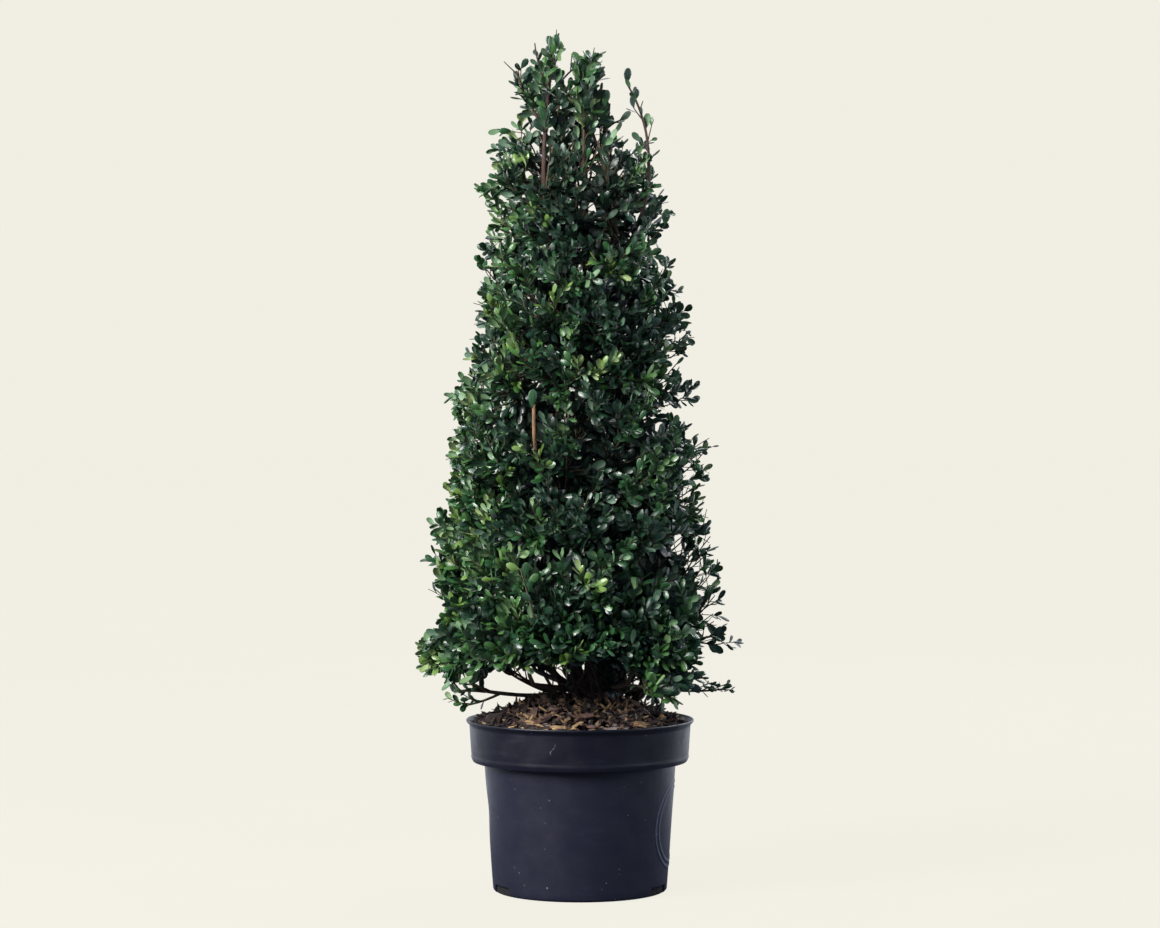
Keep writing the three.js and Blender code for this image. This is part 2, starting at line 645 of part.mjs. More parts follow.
const masses = TIERS.flatMap((tier) =>
  Array.from({ length: tier.sectors }, (_, i) => makeTierMass(tier, i, limbs, leaders, boughs)),
);
masses.push(...TOPS.map((top) => makeTop(top, limbs, leaders)));
masses.push(...SPRIGS.map((sprig) => makeSprig(sprig, boughs)));
masses.forEach(({ name, solid }) => addNode(name, geometryFrom(solid), FINISH.leaf));

export default holly;
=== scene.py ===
import math

import bpy
import numpy as np
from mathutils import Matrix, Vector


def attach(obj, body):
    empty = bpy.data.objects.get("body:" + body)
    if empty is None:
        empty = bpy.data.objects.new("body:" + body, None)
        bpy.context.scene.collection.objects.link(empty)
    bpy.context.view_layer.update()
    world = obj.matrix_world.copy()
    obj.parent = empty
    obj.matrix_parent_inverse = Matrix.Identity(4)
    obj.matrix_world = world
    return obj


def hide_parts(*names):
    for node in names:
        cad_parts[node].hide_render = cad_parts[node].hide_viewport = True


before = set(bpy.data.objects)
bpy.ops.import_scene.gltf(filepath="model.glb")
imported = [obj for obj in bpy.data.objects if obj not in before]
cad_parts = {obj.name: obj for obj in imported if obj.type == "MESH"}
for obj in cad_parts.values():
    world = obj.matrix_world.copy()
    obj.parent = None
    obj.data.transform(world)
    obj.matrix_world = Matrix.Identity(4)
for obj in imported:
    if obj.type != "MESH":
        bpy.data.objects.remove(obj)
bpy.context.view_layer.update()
print("frame loaded,", len(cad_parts), "nodes")

# Sizes are millimetres, as in the part's source. makePiece turns them into metres.
metre = 0.001
goldenAngle = math.pi * (3 - math.sqrt(5))
goldenShare = (math.sqrt(5) - 1) / 2
upward = np.array([0.0, 0.0, 1.0])
barkTile = 10  # millimetres of bark to one step of its UV map
seed = 1907


# Settings from rows of values: each row's values stand under the names
def rowsOf(names, *rows):
    return [dict(zip(names.split(), row)) for row in rows]


# Straight blend: low plus a share of the way to high
def mix(low, high, share):
    return low + (high - low) * share


# 0 below low and 1 above high, with 3s² - 2s³ between
def smoothStep(low, high, value):
    share = np.clip((value - low) / (high - low), 0, 1)
    return share * share * (3 - 2 * share)


# Angles measured from a middle one, within half a turn: (a - m + pi) mod 2 pi, less pi
def turnFrom(angle, middle):
    return (angle - middle + math.pi) % (2 * math.pi) - math.pi


# Even steps once round: 2 pi times the number, over the count
def onceRound(count):
    return np.arange(count) * 2 * np.pi / count


# Each vector divided by its length
def unit(vectors):
    return vectors / np.maximum(np.linalg.norm(vectors, axis=-1, keepdims=True), 1e-9)


# Angle, radius and height to x = r cos a, y = r sin a, z
def polar(angle, radius, height):
    angle, radius, height = np.broadcast_arrays(angle, radius, height)
    return np.stack([radius * np.cos(angle), radius * np.sin(angle), height], axis=-1).astype(float)


# Smooth noise of about -1 to 1: the mean of sine waves in seeded directions, each about one size long
def waveNoise(points, size, start, waves=9):
    dice = np.random.default_rng(start)
    directions = unit(dice.normal(size=(waves, 3)))
    turns = 2 * np.pi / (size * dice.uniform(0.6, 1.6, waves))
    swings = np.sin(points @ (directions * turns[:, None]).T + dice.uniform(0, 2 * np.pi, waves))
    return 1.7 * swings.mean(axis=-1)


# Rows of points on smooth curves: the control points weighed by n over k × s to the k × (1 - s) to the n - k
def curveRows(controls, rows):
    share = np.linspace(0, 1, rows)[:, None]
    degree = controls.shape[-2] - 1
    term = np.arange(degree + 1)
    choose = np.array([math.comb(degree, k) for k in term])
    weights = choose * share**term * (1 - share) ** (degree - term)
    return weights @ controls


# Points and directions at shares of sampled paths, straight between two samples
def alongPaths(paths, shares):
    count, rows = paths.shape[:2]
    place = np.clip(shares, 0, 1) * (rows - 1)
    low = np.minimum(place.astype(int), rows - 2)
    path = np.arange(count)[:, None]
    first, second = paths[path, low], paths[path, low + 1]
    return mix(first, second, (place - low)[..., None]), unit(second - first)


# The same for many shares of one path
def alongOne(path, shares):
    points, forward = alongPaths(path[None], np.atleast_2d(shares))
    return points[0], forward[0]


# The same for one share of each path
def onEach(paths, shares):
    points, forward = alongPaths(paths, shares[:, None])
    return points[:, 0], forward[:, 0]


# Length of each path: the sum of its steps
def pathLengths(paths):
    return np.linalg.norm(np.diff(paths, axis=1), axis=-1).sum(axis=1)


# Quads of a grid of rows by columns that closes round its columns, facing out where rows run up a path
def gridFaces(rows, columns):
    row = np.arange(rows - 1)[:, None] * columns
    column = np.arange(columns)[None, :]
    after = (column + 1) % columns
    quads = np.stack([row + column, row + after, row + columns + after, row + columns + column], axis=-1)
    return quads.reshape(-1, 4)


# A closed surface from a grid of points: its quads, and a fan round the middle of its first and last rows
def closedGrid(grid):
    rows, columns = grid.shape[:2]
    points = np.concatenate([grid.reshape(-1, 3), grid[[0, -1]].mean(axis=1)])
    around = np.arange(columns)
    after = (around + 1) % columns
    first = np.stack([after, around, np.full(columns, rows * columns)], axis=-1)
    last = np.stack([around, after, np.full(columns, rows * columns + 1)], axis=-1)
    last[:, :2] += (rows - 1) * columns
    return points, [gridFaces(rows, columns), np.concatenate([first, last])]


# Two directions square to each path and to each other, turning as little as a fixed helper axis allows
def pathFrames(paths):
    forward = unit(np.gradient(paths, axis=-2))
    helper = np.eye(3)[np.abs(forward.mean(axis=-2)).argmin(axis=-1)]
    aside = unit(np.cross(forward, np.expand_dims(helper, -2)))
    return aside, np.cross(forward, aside)


# Rings carried along each path: centre + r (cos a · aside + sin a · across)
def ringsAlong(paths, radii, sides):
    aside, across = pathFrames(paths)
    turn = onceRound(sides)
    ring = np.cos(turn)[:, None] * aside[..., None, :] + np.sin(turn)[:, None] * across[..., None, :]
    return paths[..., None, :] + radii[..., None] * ring


# Many thin tubes at once, four-sided, each end closed by one quad
def tubeBatch(paths, radii):
    count, rows = paths.shape[:2]
    sides = 4
    grid = ringsAlong(paths, radii[..., None], sides)
    ends = np.array([[3, 2, 1, 0], np.arange(4) + (rows - 1) * sides])
    quads = np.concatenate([gridFaces(rows, sides), ends])
    faces = quads[None] + np.arange(count)[:, None, None] * rows * sides
    length = np.linalg.norm(np.diff(paths, axis=1), axis=-1).cumsum(axis=1)
    length = np.concatenate([np.zeros((count, 1)), length], axis=1)
    around, run = np.broadcast_arrays(np.arange(sides) / sides, length[..., None] / barkTile)
    return grid.reshape(-1, 3), faces.reshape(-1, 4), np.stack([around, run], axis=-1).reshape(-1, 2)


# Whole arrays of points and faces into a mesh that rides on the plant's one body
def makePiece(name, points, faces, finish, uv=None, smooth=True):
    faces = faces if isinstance(faces, list) else [faces]
    corners = np.concatenate([part.ravel() for part in faces]).astype(np.int32)
    sizes = np.concatenate([np.full(len(part), part.shape[1]) for part in faces])
    mesh = bpy.data.meshes.new(name)
    mesh.vertices.add(len(points))
    mesh.vertices.foreach_set("co", (points * metre).astype(np.float32).ravel())
    mesh.loops.add(len(corners))
    mesh.loops.foreach_set("vertex_index", corners)
    mesh.polygons.add(len(sizes))
    mesh.polygons.foreach_set("loop_start", (np.cumsum(sizes) - sizes).astype(np.int32))
    mesh.polygons.foreach_set("use_smooth", np.full(len(sizes), smooth))
    if uv is not None:
        layer = mesh.uv_layers.new(name="surface")
        layer.data.foreach_set("uv", uv[corners].astype(np.float32).ravel())
    mesh.update(calc_edges=True)
    mesh.validate()
    mesh.materials.append(finish)
    piece = bpy.data.objects.new(name, mesh)
    bpy.context.scene.collection.objects.link(piece)
    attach(piece, "root")
    triangles = int((sizes - 2).sum())
    print("piece", name, triangles, "triangles")
    return piece


# A colour as it is seen, 0 to 255, made linear for a shader
def paint(red, green, blue):
    seen = np.array([red, green, blue]) / 255
    linear = np.where(seen <= 0.04045, seen / 12.92, ((seen + 0.055) / 1.055) ** 2.4)
    return (*linear.tolist(), 1.0)


# One node with its settings, and its sockets set to a value or linked to another socket
def addNode(tree, kind, sockets=None, **settings):
    node = tree.nodes.new(kind)
    for key, value in settings.items():
        setattr(node, key, value)
    for key, value in (sockets or {}).items():
        if isinstance(value, bpy.types.NodeSocket):
            tree.links.new(value, node.inputs[key])
        else:
            node.inputs[key].default_value = value
    return node


# A value carried from one range to another, kept inside the new one
def mapRange(tree, value, fromLow, fromHigh, toLow=0.0, toHigh=1.0):
    limits = {"From Min": fromLow, "From Max": fromHigh, "To Min": toLow, "To Max": toHigh}
    return addNode(tree, "ShaderNodeMapRange", {"Value": value, **limits}).outputs["Result"]


# Two colours mixed by a mask
def mixColours(tree, mask, first, second):
    sockets = {0: mask, 6: first, 7: second}
    return addNode(tree, "ShaderNodeMix", sockets, data_type="RGBA").outputs[2]


# One step of arithmetic on one or two values
def maths(tree, operation, first, second=0.0):
    return addNode(tree, "ShaderNodeMath", {0: first, 1: second}, operation=operation).outputs[0]


# A node group with named sockets, filled by a function that gets its tree, its inputs and its outputs
def makeGroup(name, inputs, outputs, fill):
    tree = bpy.data.node_groups.new(name, "ShaderNodeTree")
    for label, (kind, value) in inputs.items():
        socket = tree.interface.new_socket(name=label, in_out="INPUT", socket_type=kind)
        if value is not None:
            socket.default_value = value
    for label, kind in outputs.items():
        tree.interface.new_socket(name=label, in_out="OUTPUT", socket_type=kind)
    source = tree.nodes.new("NodeGroupInput")
    target = tree.nodes.new("NodeGroupOutput")
    for label, socket in fill(tree, source.outputs).items():
        tree.links.new(socket, target.inputs[label])
    return tree


# Cloudy grain: noise at one scale for tone, and at eight times that scale for relief
def fillGrain(tree, given):
    place, scale = given["Place"], given["Scale"]
    tone = addNode(tree, "ShaderNodeTexNoise", {"Vector": place, "Scale": scale, "Detail": 4.0})
    finer = maths(tree, "MULTIPLY", scale, 8.0)
    relief = addNode(tree, "ShaderNodeTexNoise", {"Vector": place, "Scale": finer, "Detail": 3.0})
    return {"Tone": mapRange(tree, tone.outputs["Fac"], 0.3, 0.7), "Relief": relief.outputs["Fac"]}


# Scattered specks: round spots in the middle of irregular cells, in the share of cells that is asked for
def fillSpecks(tree, given):
    sockets = {"Vector": given["Place"], "Scale": given["Scale"], "Randomness": 1.0}
    cells = addNode(tree, "ShaderNodeTexVoronoi", sockets).outputs
    spot = mapRange(tree, cells["Distance"], given["Size"], 0.02)
    pick = addNode(tree, "ShaderNodeSeparateColor", {"Color": cells["Color"]})
    chosen = maths(tree, "LESS_THAN", pick.outputs[0], given["Share"])
    return {"Mask": maths(tree, "MULTIPLY", spot, chosen)}


# Long fibres: noise on a place that is stretched along one axis
def fillFibres(tree, given):
    sockets = {0: given["Place"], 1: given["Stretch"]}
    place = addNode(tree, "ShaderNodeVectorMath", sockets, operation="MULTIPLY").outputs[0]
    coarse = addNode(tree, "ShaderNodeTexNoise", {"Vector": place, "Scale": 1.0, "Detail": 5.0})
    fine = addNode(tree, "ShaderNodeTexNoise", {"Vector": place, "Scale": 3.7, "Detail": 2.0})
    relief = maths(tree, "MULTIPLY", coarse.outputs["Fac"], fine.outputs["Fac"])
    tone = mapRange(tree, coarse.outputs["Fac"], 0.34, 0.66)
    return {"Tone": tone, "Relief": mapRange(tree, relief, 0.1, 0.4)}


placeInput = {"Place": ("NodeSocketVector", None)}
scaleInput = {"Scale": ("NodeSocketFloat", 100.0)}
grainGroup = makeGroup(
    "cloudyGrain",
    {**placeInput, **scaleInput},
    {"Tone": "NodeSocketFloat", "Relief": "NodeSocketFloat"},
    fillGrain,
)
specksGroup = makeGroup(
    "scatteredSpecks",
    {**placeInput, **scaleInput, "Size": ("NodeSocketFloat", 0.3), "Share": ("NodeSocketFloat", 0.2)},
    {"Mask": "NodeSocketFloat"},
    fillSpecks,
)
fibresGroup = makeGroup(
    "longFibres",
    {**placeInput, "Stretch": ("NodeSocketVector", (1.0, 1.0, 1.0))},
    {"Tone": "NodeSocketFloat", "Relief": "NodeSocketFloat"},
    fillFibres,
)
print("node groups made")


# A node group placed in a tree, with its own values
def useGroup(tree, group, sockets):
    return addNode(tree, "ShaderNodeGroup", sockets, node_tree=group).outputs


# An empty material with its shader, and the places that its patterns read
def startMaterial(name):
    material = bpy.data.materials.new(name)
    material.use_nodes = True
    tree = material.node_tree
    shader = next(node for node in tree.nodes if node.type == "BSDF_PRINCIPLED")
    places = tree.nodes.new("ShaderNodeTexCoord").outputs
    return material, tree, shader, places


# Colour, roughness and relief on the shader's sockets
def finishMaterial(tree, shader, colour, roughness, height, strength, depth):
    bump = addNode(tree, "ShaderNodeBump", {"Height": height, "Strength": strength, "Distance": depth})
    sockets = {"Base Color": colour, "Roughness": roughness, "Normal": bump.outputs["Normal"]}
    for key, socket in sockets.items():
        tree.links.new(socket, shader.inputs[key])


# Pot: a deep rim band over a tapering body, drain notches in the heel
pot = {
    "height": 211, "lipDrop": 7, "bandTopRadius": 135.8, "bandFootRadius": 133.2, "bandFoot": 162.5,
    "bodyTopRadius": 117.5, "bodyTop": 158, "footRadius": 107, "heel": 4, "wall": 2.3, "floor": 4,
    "columns": 480, "ripple": 0.25, "sway": 0.35, "swayFrom": (163, 176),
}
# the rolled lip from its foot outside to its foot inside, as radius and height
potLip = [
    (136.6, 205.2), (138.4, 206.9), (139.6, 208.2), (140.0, 209.4), (139.9, 210.3), (139.4, 210.8),
    (138.8, 211.0), (138.1, 210.8), (137.5, 210.1), (136.4, 208.4), (133.7, 204.0),
]


# Moulded pot: a satin navy charcoal with pale dust, rubbed patches and a fine mould grain; its band is
# painted darker than the body as painted shade under the crown
potFinish = {
    "band": (9, 10, 25), "body": (29, 30, 45), "worn": (40, 44, 62), "edge": (122, 132, 154),
    "dust": (176, 176, 178), "dusting": 0.5, "dustRough": 0.3, "grain": 42.0, "mould": 260.0,
    "specks": {"Scale": 190.0, "Size": 0.2, "Share": 0.035},
    "splash": {"Scale": 75.0, "Size": 0.12, "Share": 0.05},
    "rub": (30.0, 30.0, 160.0), "rubbing": 0.3, "ledge": 4, "rough": (0.36, 0.5), "swell": 1.5,
    "relief": (0.22, 0.0005), "shine": 0.42, "coat": 0.12, "coatRough": 0.24,
}
pad = {
    "angle": 352, "height": 84, "seat": 112, "radius": 53, "inner": 46, "edge": 1.3, "rise": 0.7,
    "face": 0.35, "worn": 0.6, "crowd": 2.0, "crowdReach": 0.55,
}
scuff = {
    "x": -0.0325, "z": 0.187, "reach": 0.0075, "wide": 0.0011, "lean": 0.3, "bend": 0.0016,
    "wave": 420.0, "worn": 0.8,
}


# Band and body tones parted at the ledge, the band's much darker tone being painted shade from the crown
# above it, mixed by masks with rubbed patches, worn rings, a scrape and dust
def makePotMaterial():
    material, tree, shader, places = startMaterial("mouldedPlastic")
    place = places["Object"]
    tones = {key: paint(*potFinish[key]) for key in ("band", "body", "worn", "edge", "dust")}
    grain = useGroup(tree, grainGroup, {"Place": place, "Scale": potFinish["grain"]})
    mould = useGroup(tree, grainGroup, {"Place": place, "Scale": potFinish["mould"]})
    specks = useGroup(tree, specksGroup, {"Place": place, **potFinish["specks"]})
    splash = useGroup(tree, specksGroup, {"Place": place, **potFinish["splash"]})
    rubbed = useGroup(tree, fibresGroup, {"Place": place, "Stretch": potFinish["rub"]})
    rub = mapRange(tree, rubbed["Tone"], 0.7, 1.0, 0.0, potFinish["rubbing"])
    rub = maths(tree, "MULTIPLY", rub, grain["Tone"])
    dusty = maths(tree, "MAXIMUM", specks["Mask"], splash["Mask"])
    dusty = maths(tree, "MULTIPLY", dusty, potFinish["dusting"])
    spot = addNode(tree, "ShaderNodeSeparateXYZ", {"Vector": place}).outputs
    low, high = pot["bodyTop"] - potFinish["ledge"], pot["bandFoot"] + potFinish["ledge"]
    # the band's dark tone is painted shade: the crown's skirt shades the band more than the body below it
    onBody = mapRange(tree, spot["Z"], low * metre, high * metre, 1.0, 0.0)
    colour = mixColours(tree, onBody, tones["band"], tones["body"])
    colour = mixColours(tree, rub, colour, tones["worn"])
    # the two thin rings of the pad are worn pale, and so is one scuff on the band
    seat = polar(math.radians(pad["angle"]), pad["seat"], pad["height"]) * metre
    fromSeat = addNode(tree, "ShaderNodeVectorMath", {0: place, 1: seat}, operation="DISTANCE")
    for ring in (pad["radius"], pad["inner"]):
        away = maths(tree, "SUBTRACT", fromSeat.outputs["Value"], ring * metre)
        worn = mapRange(tree, maths(tree, "ABSOLUTE", away), 0.0, pad["edge"] * metre, pad["worn"], 0.0)
        colour = mixColours(tree, worn, colour, tones["edge"])
    # the scrape follows x = lean · z + bend · sin(wave · z), measured from its middle, on the front only
    fromX = maths(tree, "SUBTRACT", spot["X"], scuff["x"])
    fromZ = maths(tree, "SUBTRACT", spot["Z"], scuff["z"])
    swing = maths(tree, "SINE", maths(tree, "MULTIPLY", fromZ, scuff["wave"]))
    swing = maths(tree, "MULTIPLY", swing, scuff["bend"])
    line = maths(tree, "ADD", maths(tree, "MULTIPLY", fromZ, scuff["lean"]), swing)
    fromLine = maths(tree, "ABSOLUTE", maths(tree, "SUBTRACT", fromX, line))
    scraped = mapRange(tree, fromLine, 0.0, scuff["wide"], scuff["worn"], 0.0)
    ends = mapRange(tree, maths(tree, "ABSOLUTE", fromZ), 0.5 * scuff["reach"], scuff["reach"], 1.0, 0.0)
    inFront = maths(tree, "LESS_THAN", spot["Y"], 0.0)
    for mask in (ends, mould["Tone"], inFront):
        scraped = maths(tree, "MULTIPLY", scraped, mask)
    colour = mixColours(tree, scraped, colour, tones["edge"])
    colour = mixColours(tree, dusty, colour, tones["dust"])
    rough = mapRange(tree, grain["Tone"], 0.0, 1.0, *potFinish["rough"])
    rough = maths(tree, "ADD", rough, maths(tree, "MULTIPLY", dusty, potFinish["dustRough"]))
    height = maths(tree, "ADD", mould["Relief"], maths(tree, "MULTIPLY", grain["Tone"], potFinish["swell"]))
    finishMaterial(tree, shader, colour, rough, height, *potFinish["relief"])
    shader.inputs["Specular IOR Level"].default_value = potFinish["shine"]
    shader.inputs["Coat Weight"].default_value = potFinish["coat"]
    shader.inputs["Coat Roughness"].default_value = potFinish["coatRough"]
    return material


# Fibrous pieces: two tones along the fibres, the darker one also in cloudy patches, and small pale spots
fibrous = {
    "chip": {
        "grain": 60.0, "spots": {"Scale": 420.0, "Size": 0.3, "Share": 0.1}, "spotTone": 0.4,
        "patch": (0.0, 0.55), "rough": (0.95, 0.72), "relief": (0.7, 0.0012), "by": "Tone",
    },
    "bark": {
        "grain": 90.0, "spots": {"Scale": 320.0, "Size": 0.32, "Share": 0.16}, "spotTone": 0.5,
        "patch": (0.2, 0.4), "rough": (0.92, 0.7), "relief": (0.8, 0.0008), "by": "Relief",
    },
}


# Dark tone to light tone by the fibres, back to dark by the patches, pale by the spots
def makeFibrous(name, kind, light, dark, spot, stretch):
    plan = fibrous[kind]
    light, dark, spot = paint(*light), paint(*dark), paint(*spot)
    material, tree, shader, places = startMaterial(name)
    fibres = useGroup(tree, fibresGroup, {"Place": places["UV"], "Stretch": stretch})
    grain = useGroup(tree, grainGroup, {"Place": places["Object"], "Scale": plan["grain"]})
    spots = useGroup(tree, specksGroup, {"Place": places["Object"], **plan["spots"]})
    start, most = plan["patch"]
    colour = mixColours(tree, fibres[plan["by"]], dark, light)
    colour = mixColours(tree, mapRange(tree, grain["Tone"], start, 1.0, 0.0, most), colour, dark)
    colour = mixColours(tree, maths(tree, "MULTIPLY", spots["Mask"], plan["spotTone"]), colour, spot)
    rough = mapRange(tree, fibres[plan["by"]], 0.0, 1.0, *plan["rough"])
    finishMaterial(tree, shader, colour, rough, fibres["Relief"], *plan["relief"])
    return material


# Leaf: an upper face with a paler midrib and soft side veins, and a paler, duller back
leafFinish = {
    "rough": 0.27, "roughSpread": 0.14, "backRough": 0.25, "shine": 0.9, "grain": 70.0,
    "midrib": 0.05, "ribTone": 0.4, "veins": 7.0, "veinSlant": 0.6, "veinTone": 0.1,
    "veinDepth": 0.4, "relief": (0.35, 0.0004),
}


# Shade to face tone by the grain, mixed with the back tone along midrib and veins and all over the back
def makeLeafMaterial(name, face, shade, back):
    face, shade, back = paint(*face), paint(*shade), paint(*back)
    material, tree, shader, places = startMaterial(name)
    spot = addNode(tree, "ShaderNodeSeparateXYZ", {"Vector": places["UV"]}).outputs
    fromRib = maths(tree, "ABSOLUTE", maths(tree, "SUBTRACT", spot["X"], 0.5))
    rib = mapRange(tree, fromRib, 0.0, leafFinish["midrib"], 1.0, 0.0)
    # side veins run out and up from the midrib: sine of v - slant · |u - 0.5|
    slant = maths(tree, "SUBTRACT", spot["Y"], maths(tree, "MULTIPLY", fromRib, leafFinish["veinSlant"]))
    wave = maths(tree, "SINE", maths(tree, "MULTIPLY", slant, 2 * math.pi * leafFinish["veins"]))
    vein = mapRange(tree, wave, 0.7, 1.0)
    grain = useGroup(tree, grainGroup, {"Place": places["Object"], "Scale": leafFinish["grain"]})
    colour = mixColours(tree, grain["Tone"], shade, face)
    ribMark = maths(tree, "MULTIPLY", rib, leafFinish["ribTone"])
    veinMark = maths(tree, "MULTIPLY", vein, leafFinish["veinTone"])
    colour = mixColours(tree, maths(tree, "ADD", ribMark, veinMark), colour, back)
    under = tree.nodes.new("ShaderNodeNewGeometry").outputs["Backfacing"]
    colour = mixColours(tree, under, colour, back)
    low, spread = leafFinish["rough"], leafFinish["roughSpread"]
    rough = mapRange(tree, grain["Tone"], 0.0, 1.0, low + spread, low)
    rough = maths(tree, "ADD", rough, maths(tree, "MULTIPLY", under, leafFinish["backRough"]))
    groove = maths(tree, "ADD", rib, maths(tree, "MULTIPLY", vein, leafFinish["veinDepth"]))
    height = maths(tree, "SUBTRACT", grain["Relief"], groove)
    finishMaterial(tree, shader, colour, rough, height, *leafFinish["relief"])
    shader.inputs["Specular IOR Level"].default_value = leafFinish["shine"]
    return material


# tones as light, dark and spots, or for a leaf as face, shade and back
chipStretch = (9.0, 2.2, 1.0)
chipTones = {
    "tan": [(214, 182, 136), (142, 112, 80), (238, 222, 190)],
    "rust": [(140, 106, 92), (78, 58, 54), (190, 164, 148)],
    "grey": [(168, 152, 146), (98, 86, 84), (220, 210, 202)],
    "dark": [(74, 58, 54), (34, 27, 27), (124, 108, 102)],
}
leafTones = {
    # the shaded tint is painted shade: the darkness of leaves deep in the crown and under the skirt
    "shaded": [(15, 38, 26), (9, 25, 18), (44, 66, 50)],
    "deep": [(25, 60, 36), (15, 41, 27), (72, 104, 78)],
    "mid": [(42, 88, 44), (28, 66, 35), (90, 126, 84)],
    "fresh": [(67, 111, 50), (47, 88, 41), (106, 138, 88)],
    "young": [(108, 140, 60), (82, 113, 50), (138, 160, 102)],
}
potPlastic = makePotMaterial()
soilCrumb = makeFibrous("soilCrumb", "chip", (52, 38, 32), (24, 17, 15), (120, 104, 92), chipStretch)
# near-black fill of the drain notches: painted shade under the pot
notchShadeFill = makeFibrous("notchShadeFill", "chip", (9, 7, 8), (4, 3, 4), (22, 19, 19), chipStretch)
chipFinishes = {
    name: makeFibrous("chip" + name.title(), "chip", *tones, chipStretch) for name, tones in chipTones.items()
}
barkBrown = makeFibrous("barkBrown", "bark", (98, 80, 68), (44, 36, 32), (150, 134, 118), (6.0, 0.9, 1.0))
barkPale = makeFibrous("barkPale", "bark", (188, 150, 110), (124, 92, 66), (214, 188, 156), (5.0, 1.4, 1.0))
barkRed = makeFibrous("barkRed", "bark", (114, 86, 76), (62, 44, 41), (150, 128, 112), (6.0, 0.9, 1.0))
barkOlive = makeFibrous("barkOlive", "bark", (126, 116, 84), (74, 66, 48), (168, 156, 122), (6.0, 0.9, 1.0))
twigBark = makeFibrous("twigBark", "bark", (104, 94, 68), (58, 52, 40), (146, 134, 102), (4.0, 1.2, 1.0))
leafTints = {name: makeLeafMaterial("leaf" + name.title(), *tones) for name, tones in leafTones.items()}
tintOf = {name: index for index, name in enumerate(leafTints)}
print("materials made")


# Heel and wall of the pot
drain = {"width": 44, "height": 10.5, "depth": 16, "fromFront": 64, "edge": 1.6}
rimBead = {"height": 165.0, "reach": 1.5, "rise": 0.55}
dent = {"angle": 181, "height": 100, "size": 22, "depth": 1.3}
drainTurn = math.radians(drain["fromFront"])
drainAngles = [side * math.pi / 2 + turn for side in (-1, 1) for turn in (drainTurn, -drainTurn)]
drainHalf = math.atan2(drain["width"] / 2, pot["footRadius"])


# Share of a drain notch at each angle: 1 inside a notch, 0 outside it
def notchAt(angle):
    edge = math.radians(drain["edge"])
    share = np.zeros_like(angle)
    for middle in drainAngles:
        away = np.abs(turnFrom(angle, middle))
        share = np.maximum(share, 1 - smoothStep(drainHalf - edge, drainHalf + edge / 4, away))
    return share


# Height above the wall of the plain round pad, the dent and a slow ripple, at each angle and height
def potRelief(angle, height, radius):
    across = radius * turnFrom(angle, math.radians(pad["angle"]))
    fromPad = np.hypot(across, height - pad["height"])
    rims = [np.exp(-(((fromPad - ring) / pad["edge"]) ** 2)) for ring in (pad["radius"], pad["inner"])]
    face = 1 - smoothStep(pad["radius"] - 2, pad["radius"] + 2, fromPad)
    lift = pad["rise"] * (rims[0] + rims[1] + pad["face"] * face)
    aside = radius * turnFrom(angle, math.radians(dent["angle"])) / dent["size"]
    above = (height - dent["height"]) / dent["size"]
    fall = dent["depth"] * np.exp(-(aside**2) - above**2)
    slow = pot["ripple"] * np.sin(3 * angle + height / 31) * np.cos(5 * angle - height / 47)
    return lift - fall + slow


